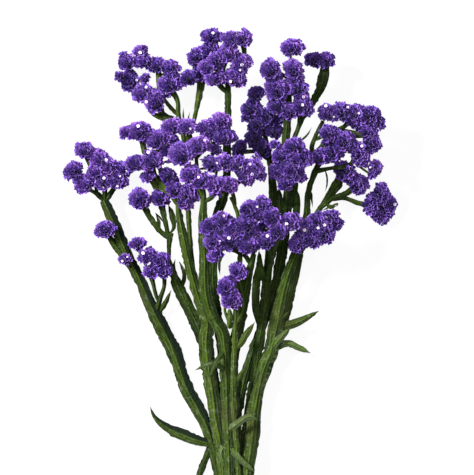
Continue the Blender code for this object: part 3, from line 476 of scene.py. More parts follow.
# Where an open flower sits on its tuft, and the calyx that holds it.
RIM_SHARE = 0.95
CROWN_HEIGHT = 0.55
CROWN_FALL = 0.25
FLOWER_LIFT = 1.2
FLOWER_LEAN = 0.5
TOP_MARGIN = 1.5
OPEN_CALYX_RADIUS = 3.3
OPEN_CALYX_DROP = 0.6
OPEN_CALYX_TONE = 0.1

# Colours along a calyx: its olive tube and violet mouth, with painted shade darkening the throat and a
# painted highlight lightening the rim.
CALYX_COLOURS = (
    (0.0, (0.026, 0.036, 0.012)), (0.42, (0.016, 0.012, 0.030)), (0.55, (0.012, 0.004, 0.050)),
    (0.80, (0.050, 0.014, 0.175)), (0.93, (0.080, 0.028, 0.270)), (1.0, (0.165, 0.080, 0.420)))
# What its colours are multiplied by, from its darkest tone to its lightest, and the grain in it.
CALYX_LIGHTS = ((0.0, (0.62, 0.55, 0.75)), (0.5, (1.9, 2.0, 1.62)), (1.0, (3.4, 3.6, 2.0)))
GRAIN_SHARE = 0.5
GRAIN_BASE = 0.25
# Colours from a corolla's throat to its rim, and in patches on it.
COROLLA_COLOURS = (
    (0.0, (0.62, 0.42, 0.32)), (0.3, (0.88, 0.78, 0.84)), (0.8, (0.92, 0.86, 0.94)),
    (1.0, (0.74, 0.62, 0.86)))
COROLLA_BLUSH = (0.50, 0.36, 0.70)
# Colours from a stem's midrib to its edge: a pale midrib and side rib, partly their own colour and partly a
# painted highlight on their crests, painted shade in the valleys between them, and a dark edge.
STEM_COLOURS = (
    (0.0, (0.062, 0.102, 0.008)), (0.10, (0.040, 0.072, 0.005)), (0.26, (0.020, 0.042, 0.004)),
    (0.50, (0.042, 0.076, 0.006)), (0.66, (0.018, 0.037, 0.004)), (0.9, (0.028, 0.050, 0.005)),
    (0.97, (0.005, 0.010, 0.002)))
# Noises on a stem, as how fine they are along it and across it, or all round, and their detail.
DRAWN_OUT = {"streaks": (0.06, 5.0, 4.0), "wrinkles": (0.45, 1.2, 3.0)}
ALL_ROUND = {"blotches": (55.0, 6.0), "flecks": (230.0, 4.0), "dry": (24.0, 2.0)}
# Layers over its green: the noise they follow, its gain and offset, how much they hide, and colour.
STEM_LAYERS = (
    ("streaks", 8.0, -4.5, 1.0, (0.082, 0.118, 0.030)), ("streaks", -8.0, 3.7, 1.0, (0.007, 0.016, 0.004)),
    ("wrinkles", 7.0, -4.0, 0.45, (0.115, 0.160, 0.045)),
    ("wrinkles", -7.0, 3.0, 0.60, (0.008, 0.017, 0.005)),
    ("blotches", 4.0, -2.0, 0.6, (0.011, 0.026, 0.004)), ("flecks", 4.0, -2.3, 0.50, (0.205, 0.250, 0.145)),
    ("dry", 5.0, -2.7, 0.45, (0.046, 0.044, 0.014)))
SHADE_GAIN = 3.2
STEM_LIGHT = 1.24
STEM_BLUE = 1.3
STEM_WARMTH = 0.35
# The colour of the painted shade that darkens one wing of a stem.
SHADED_GREEN = (0.006, 0.012, 0.008)
PALE_GAIN = (2.5, 2.4, 4.0)
PALE_GREEN = (0.115, 0.165, 0.055)
PALE_SHARE = 0.4

# Lamps: name, place, size and power.
LAMPS = (("key", (-1.5, 0.8, 1.5), 0.5, 95.0), ("fill", (0.6, 0.6, 2.4), 1.2, 16.0))
SENSOR_HEIGHT = 36.0


def seeded(name):
    """A random draw of its own for each named piece."""
    return np.random.RandomState(zlib.crc32(f"{name}{SEED}".encode()))


def on_table(across, down, height):
    """A point of the tracing sheet, in millimetres in the part's own frame."""
    return np.array((across - SHEET_CENTRE_ACROSS, SHEET_CENTRE_DOWN - down, height), float)


def unit(vectors):
    return vectors / np.maximum(np.linalg.norm(vectors, axis=-1, keepdims=True), TINY)


def smooth_rows(rows, spacing, places=2):
    """Rows read evenly along a smooth curve through the given ones."""
    rows = np.array(rows, float)
    steps = np.linalg.norm(np.diff(rows[:, :places], axis=0), axis=1)
    chord = np.concatenate(([0.0], np.cumsum(steps)))
    slopes = np.gradient(rows, chord, axis=0)
    count = max(2, round(chord[-1] / spacing)) + 1
    where = np.linspace(0.0, chord[-1], count)
    left = np.clip(np.searchsorted(chord, where, side="right") - 1, 0, len(chord) - 2)
    span = (chord[left + 1] - chord[left])[:, None]
    t = (where - chord[left])[:, None] / span
    start = (1 + 2 * t) * (1 - t) ** 2 * rows[left] + t * (1 - t) ** 2 * span * slopes[left]
    end = t * t * (3 - 2 * t) * rows[left + 1] + t * t * (t - 1) * span * slopes[left + 1]
    return start + end


def half_height_at(offset, half_width):
    """Half the thickness of a winged stem, at an offset from its middle line."""
    core = STEM_CORE_SHARE * half_width
    slope = np.clip((np.abs(offset) - core) / (half_width - core), 0.0, 1.0)
    height = STEM_HALF_HEIGHT + (WING_TIP_HALF_THICKNESS - STEM_HALF_HEIGHT) * slope
    return np.where(np.abs(offset) <= half_width, height, OFF_THE_STEM)


def stacked_height(apart, width_below, width_above):
    """How far above a stem's middle line another one lies, with their middle lines apart."""
    across = np.linspace(-width_below, width_below, STACK_SAMPLES)
    both = half_height_at(across, width_below) + half_height_at(across - apart, width_above)
    return both.max() + CLEARANCE


def within_reach(measure, heights, reach):
    """The measure, such as the mean, of the heights within reach of each one."""
    padded = np.pad(heights, reach, mode="edge")
    return np.array([measure(padded[i:i + 2 * reach + 1]) for i in range(len(heights))])


def lay_stem(route, kept_heights, laid):
    """The stem's middle line as (across, down, height, width), lying over the laid stems."""
    line = smooth_rows(route, LAYING_SPACING)
    floor = np.full(len(line), STEM_HALF_HEIGHT - FLAT_DEPTH)
    for other in laid:
        apart = np.linalg.norm(line[:, None, :2] - other[None, :, :2], axis=2)
        for i, j in np.argwhere(apart < (line[:, None, 2] + other[None, :, 3]) / 2):
            stacked = stacked_height(apart[i, j], other[j, 3] / 2, line[i, 2] / 2)
            floor[i] = max(floor[i], other[j, 2] + stacked)
    downs, heights = zip(*reversed(kept_heights))
    wanted = np.interp(line[:, 1], downs, heights, right=0.0)
    reach = round(LAYING_REACH / LAYING_SPACING)
    height = np.maximum(within_reach(np.max, floor, reach), wanted)
    for _ in range(2):
        height = within_reach(np.mean, height, reach // 2)
    return np.column_stack((line[:, :2], height, line[:, 2]))


def tuft_axis(fan, row):
    """The way a tuft points: away from the point that its spray fans from, and up."""
    outward = unit(on_table(*row[:3]) - on_table(fan[0], fan[1], row[2]))
    return unit(outward + HEAD_LIFT * UP)


def tuft_foot(fan, row):
    """The point on the tuft's axis where its stalk ends, as (across, down, height)."""
    foot = on_table(*row[:3]) - tuft_axis(fan, row) * FOOT_SHARE * HEAD_SWELL * row[3]
    return foot[0] + SHEET_CENTRE_ACROSS, SHEET_CENTRE_DOWN - foot[1], foot[2]


def foot_of_nearest_tuft(place):
    tufts = [(fan, row) for _, fan, rows in SPRAYS for row in rows]
    return tuft_foot(*min(tufts, key=lambda tuft: math.dist(tuft[1][:2], place[:2])))


def smooth_noise(draw, where, spacing):
    """Noise from -1 to 1 along a line, with about one wave in every two spacings."""
    knots = draw.uniform(-1.0, 1.0, int(where[-1] / spacing) + 3)
    return np.interp(where / spacing, np.arange(len(knots)), knots)


class Growth:
    """Points and faces of one piece, in millimetres, with marks that its material reads."""

    MARKS = ("along", "across", "tone")

    def __init__(self):
        self.points, self.faces, self.marks, self.count = [], [], [], 0

    def add(self, points, faces, along, across, tone):
        """Points as (n, 3), faces as rows of point numbers, and a mark of each kind per point."""
        self.points.append(points)
        self.faces += [row + self.count for row in faces]
        marks = [np.broadcast_to(mark, (len(points),)) for mark in (along, across, tone)]
        self.marks.append(np.column_stack(marks))
        self.count += len(points)

    def piece(self, name, material, *nodes):
        low, high = CAD_BOX
        points = np.clip(np.concatenate(self.points) * MM, low, high)
        mesh = bpy.data.meshes.new(name)
        faces = [face for row in self.faces for face in row.tolist()]
        mesh.from_pydata(points.tolist(), [], faces)
        marks = np.concatenate(self.marks)
        for i, mark in enumerate(self.MARKS):
            store = mesh.attributes.new(mark, "FLOAT", "POINT")
            store.data.foreach_set("value", marks[:, i].astype(np.float32))
        mesh.polygons.foreach_set("use_smooth", np.ones(len(mesh.polygons), bool))
        mesh.materials.append(material)
        mesh.update()
        item = bpy.data.objects.new(name, mesh)
        bpy.context.scene.collection.objects.link(item)
        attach(item, "root")
        if nodes:
            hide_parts(*nodes)
        return item


def ring_faces(rings, sides):
    """Faces between rings of points, each ring closed on itself."""
    i, j = np.meshgrid(np.arange(rings - 1), np.arange(sides), indexing="ij")
    a = (i * sides + j).ravel()
    b = (i * sides + (j + 1) % sides).ravel()
    return np.column_stack((a, b, b + sides, a + sides))


def ribs(across, cored):
    """How much of its half height a winged stem has, from its middle line to its wing's edge."""
    away = np.abs(across)
    midrib = STEM_MIDRIB if cored else BRANCH_MIDRIB
    side_rib = SIDE_RIB * cored * np.exp(-((away - SIDE_RIB_PLACE) / SIDE_RIB_WIDTH) ** 2)
    crest = midrib * np.exp(-(away / MIDRIB_WIDTH) ** 2)
    return np.clip(crest + side_rib + (1.0 - midrib) * (1.0 - away), 0.0, 1.0)


def torn_edges(draw, along, across, downs, cored, bites):
    """How far each point of a winged strip is lifted, and its share of the strip's width."""
    size = STEM_WAVE if cored else BRANCH_WAVE
    wave = np.zeros((len(along), len(across)))
    edge = np.ones((len(along), len(across)))
    for sign in (-1, 1):
        mine = across * sign > STILL_SHARE
        reach = np.clip((across[mine] * sign - STILL_SHARE) / (1 - STILL_SHARE), 0, 1)
        lift = smooth_noise(draw, along, WAVE_SPACING)
        teeth = smooth_noise(draw, along, TOOTH_SPACING) * np.abs(smooth_noise(draw, along, WAVE_SPACING))
        grow = SWELL_SHARE * smooth_noise(draw, along, WAVE_SPACING) + TOOTH_SHARE * teeth
        for down, side, length, depth in bites:
            if side == sign:
                grow = grow - depth * np.exp(-((downs - down) / length) ** 2)
        wave[:, mine] = size * lift[:, None] * reach ** 2
        edge[:, mine] = 1.0 + grow[:, None] * reach ** 2
    return wave, edge


def half_widths(line, along, cored, free):
    """Half the width of each row, drawn in where a side stem starts and at a free end."""
    half = np.maximum(line[:, 3] / 2, LEAST_HALF_WIDTH)
    if not cored:
        half *= np.clip(ROOT_SHARE + along / ROOT_LENGTH, 0.0, 1.0)
    if free:
        half *= np.clip(FREE_SHARE + (along[-1] - along) / FREE_LENGTH, 0.0, 1.0)
    return half


def half_heights(half, across, cored):
    """Half the thickness at each point of each row."""
    full = STEM_HALF_HEIGHT if cored else BRANCH_HALF_HEIGHT
    edge = WING_TIP_HALF_THICKNESS if cored else BRANCH_EDGE
    thick = np.maximum(np.minimum(full, THICKEST_SHARE * half), THINNEST_HALF_HEIGHT)
    return edge + (thick[:, None] - edge) * ribs(across, cored)[None, :]


def strip_tones(tone, downs, along, marks, cored, name):
    """The tone of each point: pale at a main stem's cut end, and banded on one stem."""
    tones = np.full(marks.shape, float(tone))
    if cored:
        tones[0] = CUT_TONE
    if name == BANDED_STEM:
        within = (downs > BANDED_DOWNS[0]) & (downs < BANDED_DOWNS[1])
        bands = BAND_TONE * within * np.clip(np.cos(along * 2 * math.pi / BAND_SPACING), 0.0, 1.0)
        tones += bands[:, None] * np.clip(BAND_GAIN * marks - BAND_OFFSET, 0.0, 1.0)
    return tones


def ribbed(growth, rows, cored, tone, draw, free=False, name=None):
    """A fine winged stem, stalk or leaf through rows of (across, down, height, width)."""
    shares = STEM_SHARES if cored else BRANCH_SHARES
    across = np.array([-share for share in reversed(shares)] + [0.0, *shares])
    line = smooth_rows(rows, STEM_STEP, 2) if cored else smooth_rows(rows, BRANCH_STEP, 3)
    points = np.column_stack((line[:, 0] - SHEET_CENTRE_ACROSS, SHEET_CENTRE_DOWN - line[:, 1], line[:, 2]))
    ahead = unit(np.gradient(points, axis=0))
    side = unit(np.cross(ahead, UP))
    up = np.cross(side, ahead)
    along = np.concatenate(([0.0], np.cumsum(np.linalg.norm(np.diff(points, axis=0), axis=1))))
    half = half_widths(line, along, cored, free)
    wave, edge = torn_edges(draw, along, across, line[:, 1], cored, BITES.get(name, ()))
    height = half_heights(half, across, cored)
    flat = points[:, None] + side[:, None] * (across[None, :] * half[:, None] * edge)[..., None]
    top = flat + up[:, None] * (wave + height)[..., None]
    low = flat + up[:, None] * (wave - height)[..., None]
    ring = np.concatenate((top, low[:, ::-2]), axis=1)
    sides = ring.shape[1]
    ends = [np.arange(sides)[::-1][None, :], (np.arange(sides) + (len(ring) - 1) * sides)[None, :]]
    marks = np.broadcast_to(np.concatenate((across, across[::-2])), (len(ring), sides))
    lengths = np.broadcast_to(along[:, None], (len(ring), sides))
    tones = strip_tones(tone, line[:, 1], along, marks, cored, name)
    growth.add(ring.reshape(-1, 3), [ring_faces(len(ring), sides)] + ends, lengths.ravel(),
               marks.ravel(), tones.ravel())


def stalk_rows(line, rows):
    """The rows of a side stem, with its start on the stem and its end in a tuft's foot."""
    rows = [list(row) for row in rows]
    if rows[0][2] == 0:
        nearest = np.argmin(np.linalg.norm(line[:, :2] - np.array(rows[0][:2]), axis=1))
        rows[0][2] = line[nearest, 2]
    if rows[-1][2] == 0:
        rows[-1][:3] = foot_of_nearest_tuft(rows[-1])
    return rows


def calyx_sites(fan, row, neighbours, draw):
    """Mouths, directions and sizes of a tuft's calyces, fanning out from its foot."""
    centre, axis, radius = on_table(*row[:3]), tuft_axis(fan, row), HEAD_SWELL * row[3]
    right = unit(np.cross(axis, (0.0, 1.0, 0.0)))
    front = np.cross(axis, right)
    count = max(LEAST_CALYCES, round(CALYCES_PER_AREA * radius ** 2))
    share = (np.arange(count) + 0.5) / count
    turn = np.arccos(1 - share * (1 - math.cos(DOME_TURN)))
    roll = np.arange(count) * GOLDEN_TURN + draw.uniform(0, ANY_TURN)
    out = right * np.cos(roll)[:, None] + front * np.sin(roll)[:, None]
    longer = 1.0 + DOME_STRETCH * np.cos(2.0 * roll + draw.uniform(0, ANY_TURN))
    longer += draw.normal(scale=0.05, size=count)
    mouths = centre + radius * (axis * (DOME_HEIGHT * np.cos(turn) - DOME_SINK)[:, None]
                                + out * (DOME_SPREAD * np.sin(turn) * longer)[:, None])
    mouths += draw.normal(scale=0.6, size=mouths.shape)
    foot = centre - axis * DOME_FOOT * radius
    aims = unit(unit(mouths - foot) + draw.normal(scale=0.22, size=mouths.shape))
    sizes = min(CALYX_RADIUS, CALYX_SHARE * radius) * draw.uniform(low=0.8, high=1.2, size=count)
    free = np.ones(count, bool)
    for other, size in neighbours:
        free &= np.linalg.norm(mouths - other, axis=1) > CROWDED_SHARE * size
    return mouths[free], aims[free], sizes[free], foot


def calyx_faces():
    """Faces of one calyx: a tube with a side for each lobe, and a mouth with three for each."""
    tube = CALYX_LOBES
    quads = np.concatenate((ring_faces(2, tube), ring_faces(2, CALYX_SIDES) + 2 * tube))
    lobe = np.arange(tube)
    here, after = tube + lobe, tube + (lobe + 1) % tube
    before, first, second, third = (2 * tube + (3 * lobe + i) % CALYX_SIDES for i in (-1, 0, 1, 2))
    corners = ((here, first, before), (here, second, first), (here, after, second), (after, third, second))
    return quads, np.concatenate([np.column_stack(corner) for corner in corners])


def add_calyces(growth, mouths, aims, sizes, foot, tone, draw):
    """Papery funnels with a ruffled five-lobed rim, from the tuft's foot to their mouths."""
    count = len(mouths)
    right = unit(np.cross(aims, unit(draw.normal(0, 1, aims.shape))))
    front = np.cross(aims, right)
    turn = np.linspace(0, 2 * math.pi, CALYX_SIDES, endpoint=False)
    lobes = np.cos(CALYX_LOBES * turn)
    pleats = np.cos(turn[None, :] + draw.uniform(0, ANY_TURN, (count, 1)))
    spread = draw.uniform(-0.5, 0.5, (count, CALYX_SIDES))
    ragged = draw.uniform(-1.0, 1.0, (count, CALYX_SIDES))
    ragged = (ragged + np.roll(ragged, 1, axis=1)) / RAGGED_SOFTNESS
    start = foot + draw.normal(scale=0.5, size=mouths.shape)
    rings, along = [], []
    for up, radius, crinkle in CALYX_RINGS:
        bow = up ** CALYX_BOW
        middle = start * (1 - bow) + mouths * bow
        wide = radius * sizes[:, None] * (1 + crinkle * (LOBE_WIDTH * lobes + PLEAT_WIDTH * pleats))
        wide += RAGGED_WIDTH * crinkle * spread
        rise = crinkle * (LOBE_RISE * lobes + PLEAT_RISE * pleats + ragged)
        rise = rise * sizes[:, None] / RISE_SOFTNESS
        points = middle[:, None] + right[:, None] * (wide * np.cos(turn))[..., None]
        points += front[:, None] * (wide * np.sin(turn))[..., None] + aims[:, None] * rise[..., None]
        kept = points[:, ::1 if crinkle else CALYX_SIDES // CALYX_LOBES]
        rings.append(kept)
        along.append(np.full(kept.shape[1], up))
    points = np.concatenate(rings, axis=1)
    each = points.shape[1]
    first = np.arange(count)[:, None, None] * each
    faces = [(one[None] + first).reshape(-1, one.shape[1]) for one in calyx_faces()]
    along = np.tile(np.concatenate(along), count)
    tones = tone + draw.normal(scale=0.20, size=(count, 1)) + draw.normal(scale=0.13, size=(count, each))
    growth.add(points.reshape(-1, 3), faces, along, 0.0, tones.ravel())


def add_corolla(growth, place, aim, draw):
    """A small open flower with five notched petals, cupped round its throat."""
    right = unit(np.cross(aim, PETAL_SKEW))
    front = np.cross(aim, right)
    turn = np.linspace(0, 2 * math.pi, COROLLA_SIDES, endpoint=False)
    roll = draw.uniform(0, ANY_TURN)
    share_of_petal = np.abs(np.cos(PETALS / 2 * (turn + roll)))
    petal = share_of_petal ** PETAL_ROUNDNESS
    notch = NOTCH_DEPTH * np.exp(-(share_of_petal - 1) ** 2 / NOTCH_WIDTH)
    size = COROLLA_RADIUS * draw.uniform(low=0.60, high=1.02)
    points, along = [], []
    for share, lift in COROLLA_RINGS:
        outline = size * share * (1 - share * (PETAL_CUT * (1 - petal) + notch))
        rise = lift + PETAL_CURL * share * np.cos(PETALS * turn + roll)
        points.append(place + right * (outline * np.cos(turn))[:, None]
                      + front * (outline * np.sin(turn))[:, None] + aim * rise[:, None])
        along.append(np.full(COROLLA_SIDES, share))
    faces = [ring_faces(len(COROLLA_RINGS), COROLLA_SIDES), np.arange(COROLLA_SIDES)[None, ::-1]]
    growth.add(np.concatenate(points), faces, np.concatenate(along), 0.0, 0.0)


def node(tree, kind, **settings):
    made = tree.nodes.new(kind)
    for name, value in settings.items():
        setattr(made, name, value)
    return made


def fill(tree, made, values):
    """Links or sets a node's inputs, by name or number: to a socket, a number or a colour."""
    for key, value in values.items():
        if isinstance(value, bpy.types.NodeSocket):
            tree.links.new(value, made.inputs[key])
        else:
            made.inputs[key].default_value = (*value, 1.0) if isinstance(value, tuple) else value


def mark(tree, name):
    """The value of a mark on the mesh."""
    return node(tree, "ShaderNodeAttribute", attribute_name=name).outputs["Fac"]


def maths(tree, operation, first, second=0.0, clamp=False):
    step = node(tree, "ShaderNodeMath", operation=operation, use_clamp=clamp)
    fill(tree, step, {0: first, 1: second})
    return step.outputs[0]


def noise(tree, scale, detail=3.0, place=None):
    made = node(tree, "ShaderNodeTexNoise")
    place = place or node(tree, "ShaderNodeTexCoord").outputs["Object"]
    fill(tree, made, {"Vector": place, "Scale": scale, "Detail": detail})
    return made.outputs["Fac"]


def contrast(tree, value, gain, offset):
    """The value times the gain plus the offset, kept from 0 to 1."""
    return maths(tree, "ADD", maths(tree, "MULTIPLY", value, gain), offset, clamp=True)


def ramp(tree, value, stops):
    made = node(tree, "ShaderNodeValToRGB")
    points = made.color_ramp.elements
    while len(points) < len(stops):
        points.new(1.0)
    for point, (position, colour) in zip(points, stops):
        point.position = position
        point.color = (*colour, 1.0)
    fill(tree, made, {"Fac": value})
    return made.outputs["Color"]


def blended(tree, share, first, second, kind="MIX"):
    made = node(tree, "ShaderNodeMix", data_type="RGBA", blend_type=kind)
    fill(tree, made, {0: share, 6: first, 7: second})
    return made.outputs[2]


def new_material(name, values):
    """A material with these settings, its node tree and its shader."""
    material = bpy.data.materials.new(name)
    material.use_nodes = True
    shader = material.node_tree.nodes["Principled BSDF"]
    fill(material.node_tree, shader, values)
    return material, material.node_tree, shader


def finished(tree, shader, relief, distance, strength, values):
    """Bumps the shader by the relief and fills its other inputs."""
    bump = node(tree, "ShaderNodeBump")
    fill(tree, bump, {"Height": relief, "Distance": distance, "Strength": strength})
    fill(tree, shader, {"Normal": bump.outputs["Normal"], **values})


def calyx_material():
    """Violet paper: olive tubes, throats darkened by painted shade, rims lightened by a painted highlight, a
    fine grain and crinkles.
    """
    material, tree, shader = new_material("violet_calyx", {"Roughness": 0.75})
    # Painted shade in the throat and a painted highlight on the rim.
    colour = ramp(tree, mark(tree, "along"), CALYX_COLOURS)
    grain = maths(tree, "MULTIPLY", noise(tree, scale=260.0), GRAIN_SHARE)
    tone = maths(tree, "ADD", maths(tree, "ADD", mark(tree, "tone"), grain), GRAIN_BASE, clamp=True)
    colour = blended(tree, 1.0, colour, ramp(tree, tone, CALYX_LIGHTS), "MULTIPLY")
    finished(tree, shader, noise(tree, scale=900.0), distance=0.0004, strength=0.6, values={
        "Base Color": colour, "Sheen Weight": 0.15, "Specular IOR Level": 0.25})
    return material


def corolla_material():
    """White petals with a warm throat, a violet rim and a faint violet blush."""
    material, tree, shader = new_material("white_corolla", {"Roughness": 0.6})
    colour = ramp(tree, mark(tree, "along"), COROLLA_COLOURS)
    blush = contrast(tree, noise(tree, scale=300.0), gain=2.0, offset=-0.7)
    colour = blended(tree, blush, colour, COROLLA_BLUSH)
    finished(tree, shader, noise(tree, scale=1500.0), distance=0.0002, strength=0.5, values={
        "Base Color": colour})
    return material


def drawn_out(tree, along, across, detail):
    """Noise on a stem's own length and width, each as fine as it is given."""
    place = node(tree, "ShaderNodeCombineXYZ")
    fill(tree, place, {"X": maths(tree, "MULTIPLY", mark(tree, "along"), along),
                       "Y": maths(tree, "MULTIPLY", mark(tree, "across"), across)})
    return noise(tree, 1.0, detail, place.outputs["Vector"])


def stem_material(name, light, warm, shaded):
    """Green bark with a paler midrib, dark edges and layers of streaks, wrinkles and patches; the midrib and
    side rib carry a painted highlight, and the valleys beside them and one wing carry painted shade.
    """
    material, tree, shader = new_material(name, {"Roughness": 0.6})
    across = maths(tree, "ABSOLUTE", mark(tree, "across"))
    wing = contrast(tree, across, gain=4.0, offset=-1.6)
    noises = {kind: drawn_out(tree, *settings) for kind, settings in DRAWN_OUT.items()}
    noises.update({kind: noise(tree, *settings) for kind, settings in ALL_ROUND.items()})
    # Pale ribs with a painted highlight on their crests and painted shade in the valleys between them.
    colour = ramp(tree, across, STEM_COLOURS)
    for kind, gain, offset, hidden, tint in STEM_LAYERS:
        where = contrast(tree, noises[kind], gain, offset)
        if kind == "wrinkles":
            where = maths(tree, "MULTIPLY", where, wing)
        colour = blended(tree, maths(tree, "MULTIPLY", where, hidden), colour, tint)
    light += STEM_LIGHT
    warmth = STEM_WARMTH * warm
    tint = (light + warmth, light, STEM_BLUE * light - warmth)
    colour = blended(tree, 1.0, colour, tint, "MULTIPLY")
    # Painted shade: one wing is darkened towards SHADED_GREEN, as if it were turned away from the light.
    side = contrast(tree, mark(tree, "across"), gain=math.copysign(SHADE_GAIN, shaded), offset=0.15)
    colour = blended(tree, maths(tree, "MULTIPLY", side, abs(shaded)), colour, SHADED_GREEN)
    pale = blended(tree, 1.0, colour, PALE_GAIN, "MULTIPLY")
    pale = blended(tree, PALE_SHARE, pale, PALE_GREEN)
    colour = blended(tree, mark(tree, "tone"), colour, pale)
    relief = maths(tree, "ADD", noises["streaks"], noise(tree, scale=400.0))
    relief = maths(tree, "ADD", relief, noises["wrinkles"])
    finished(tree, shader, relief, distance=0.0012, strength=0.7, values={
        "Base Color": colour, "Specular IOR Level": 0.07})
    return material


def filled(spray, rows):
    """The spray's tufts, its small tufts, and one more in each crevice between neighbours."""
    more = []
    for i, one in enumerate(rows):
        for other in rows[:i]:
            apart = math.dist(one[:2], other[:2]) / (one[3] + other[3])
            low, high = CREVICE_SHARES
            if low < apart < high and abs(one[2] - other[2]) < CREVICE_RISE:
                middle = [(a + b) / 2 for a, b in zip(one, other)]
                radius = FILLER_SHARE * middle[3]
                more.append((middle[0], middle[1], middle[2] - FILLER_DROP * middle[3], radius))
    return list(rows) + list(FILLERS.get(spray, ())) + more


def bract_rows(names, points):
    """Each slender bract's stem and rows, from the stem's point nearest to its start."""
    for rows in BRACTS:
        nearest = np.argmin(np.linalg.norm(points[:, :2] - np.array(rows[0][:2]), axis=1))
        height = points[nearest, 2]
        root = (*points[nearest], rows[0][2])
        free = rows if math.dist(rows[0][:2], root[:2]) > BRACT_GAP else rows[1:]
        lifted = [(across, down, height + (i + 1) * BRACT_LIFT, width)
                  for i, (across, down, width) in enumerate(free)]
        yield names[nearest], [root, *lifted]


def reach_tufts(names, points):
    """A slender stalk for each tuft whose foot no stem reaches: its stem's name and rows."""
    stalks = []
    for spray, fan, rows in SPRAYS:
        for row in filled(spray, rows):
            foot = np.array(tuft_foot(fan, row))
            low = points[:, 2] <= foot[2] + ABOVE_FOOT
            away = np.where(low, np.linalg.norm(points - foot, axis=1), np.inf)
            nearest = np.argmin(away)
            start = points[nearest]
            if STALK_LENGTHS[0] < away[nearest] < STALK_LENGTHS[1]:
                middle = (start + foot) / 2 - STALK_SAG * away[nearest] * UP
                ends = [(*place, STALK_WIDTH) for place in (start, middle, foot)]
                stalks.append((names[nearest], ends))
    return stalks


def grow_stems():
    laid = {}
    for name, route, kept_heights in STEMS:
        laid[name] = lay_stem(route, kept_heights, list(laid.values()))
    sides = {name: [(stalk_rows(line, rows), rows[-1][2] != 0) for rows in SIDE_STEMS[name]]
             for name, line in laid.items()}
    lines = list(laid.items())
    lines += [(name, smooth_rows(rows, SIDE_STEP, 3)) for name, group in sides.items() for rows, _ in group]
    names = [name for name, line in lines for _ in line]
    points = np.concatenate([line[:, :3] for _, line in lines])
    for name, rows in reach_tufts(names, points):
        sides[name].append((rows, False))
    for name, rows in bract_rows(names, points):
        sides[name].append((rows, True))
    for name, line in laid.items():
        draw = seeded(name)
        growth = Growth()
        ribbed(growth, line, True, 0.0, draw, name=name)
        for rows, free in sides[name]:
            tone = max(PALE.get(tuple(row[:2]), 0.0) for row in (rows[0], rows[-1]))
            ribbed(growth, rows, False, tone, draw, free)
        item = growth.piece(f"fine_{name}", stem_material(f"green_{name}", *STEM_TONES[name]), name)


def opened_tufts():
    """The places of the open corollas in each spray, with the tuft that each is on."""
    tufts = [(spray, row) for spray, fan, rows in SPRAYS for row in filled(spray, rows)]
    opened = {}
    for spot in COROLLAS:
        spray, row = min(tufts, key=lambda tuft: math.dist(tuft[1][:2], spot) / tuft[1][3])
        apart = math.dist(spot, row[:2]) / (HEAD_SWELL * row[3])
        inward = min(1.0, COROLLA_REACH / max(apart, TINY))
        spot = [middle + (place - middle) * inward for place, middle in zip(spot, row)]
        opened.setdefault(spray, []).append((spot, row))
    return opened


def add_open_flower(growth, blooms, spot, fan, row, tone, draw):
    """A corolla on its tuft, in a wider calyx of its own."""
    radius = HEAD_SWELL * row[3]
    apart = min(math.dist(spot, row[:2]) / radius, RIM_SHARE)
    height = row[2] + radius * (CROWN_HEIGHT - CROWN_FALL * apart ** 2) + FLOWER_LIFT
    place = on_table(spot[0], spot[1], min(height, CAD_BOX[1][2] / MM - TOP_MARGIN))
    away = place - on_table(row[0], row[1], place[2])
    aim = unit(away / radius * FLOWER_LEAN + UP)
    mouths = place[None] - aim[None] * OPEN_CALYX_DROP
    foot = on_table(*row[:3]) - tuft_axis(fan, row) * DOME_FOOT * radius
    add_calyces(growth, mouths, aim[None], np.array([OPEN_CALYX_RADIUS]), foot, tone + OPEN_CALYX_TONE, draw)
    add_corolla(blooms, place + aim * COROLLA_LIFT, aim, draw)


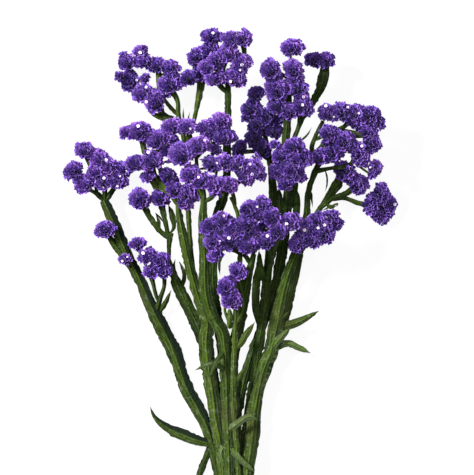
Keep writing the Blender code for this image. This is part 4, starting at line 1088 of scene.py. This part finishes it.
def grow_heads():
    violet, white, opened = calyx_material(), corolla_material(), opened_tufts()
    for spray, fan, rows in SPRAYS:
        draw, growth, blooms = seeded(spray), Growth(), Growth()
        rows = filled(spray, rows)
        places = [(on_table(*row[:3]), HEAD_SWELL * row[3]) for row in rows]
        tone = SPRAY_TONES.get(spray, 0.0)
        for i, row in enumerate(rows):
            sites = calyx_sites(fan, row, places[:i] + places[i + 1:], draw)
            own = tone + TUFT_TONES.get(tuple(row[:2]), 0.0) + draw.normal(scale=0.06)
            add_calyces(growth, *sites, own, draw)
        for spot, row in opened.get(spray, ()):
            add_open_flower(growth, blooms, spot, fan, row, tone, draw)
        growth.piece(f"fine_{spray}", violet, spray)
        if blooms.count:
            blooms.piece(spray.replace("heads", "corollas"), white)


def set_floor():
    """A pale floor that glows, as a light table does: the glow is painted light that lifts the shadows on it
    and lights the bunch from below.
    """
    bpy.ops.mesh.primitive_plane_add(size=12.0, location=(0.0, 0.0, -0.0005))
    floor = bpy.context.object
    floor.name = "floor"
    material, _, _ = new_material("pale_floor", {
        "Roughness": 0.9, "Base Color": (0.10, 0.10, 0.10), "Emission Color": (1.0, 1.0, 1.0),
        "Emission Strength": 0.915})
    floor.data.materials.append(material)


def placed(name, data, place):
    """A lamp or a camera in the scene, at its place."""
    item = bpy.data.objects.new(name, data)
    bpy.context.scene.collection.objects.link(item)
    item.location = place
    return item


def set_light():
    """Soft light from all round, and two lamps above."""
    world = bpy.context.scene.world or bpy.data.worlds.new("World")
    bpy.context.scene.world = world
    world.use_nodes = True
    back = world.node_tree.nodes["Background"]
    fill(world.node_tree, back, {"Color": (1.0, 1.0, 1.0), "Strength": 0.30})
    for name, place, size, power in LAMPS:
        light = bpy.data.lights.new(name, "AREA")
        light.size = size
        light.energy = power
        lamp = placed(name, light, place)
        lamp.rotation_euler = (-Vector(place)).to_track_quat("-Z", "Y").to_euler()


def set_camera():
    """The camera, looking straight down on what the photo shows."""
    aim = on_table(PHOTO_CENTRE_ACROSS, PHOTO_CENTRE_DOWN, 0.0) * MM
    camera = bpy.data.cameras.new("camera")
    camera.sensor_fit = "VERTICAL"
    camera.sensor_height = SENSOR_HEIGHT
    camera.lens = SENSOR_HEIGHT * (CAMERA_HEIGHT - FOCUS_HEIGHT * MM) / (PHOTO_SIDE * MM)
    camera.clip_end = 30.0
    bpy.context.scene.camera = placed("camera", camera, (aim[0], aim[1], CAMERA_HEIGHT))
    bpy.context.scene.view_settings.view_transform = "Standard"


grow_stems()
grow_heads()
set_floor()
set_light()
set_camera()
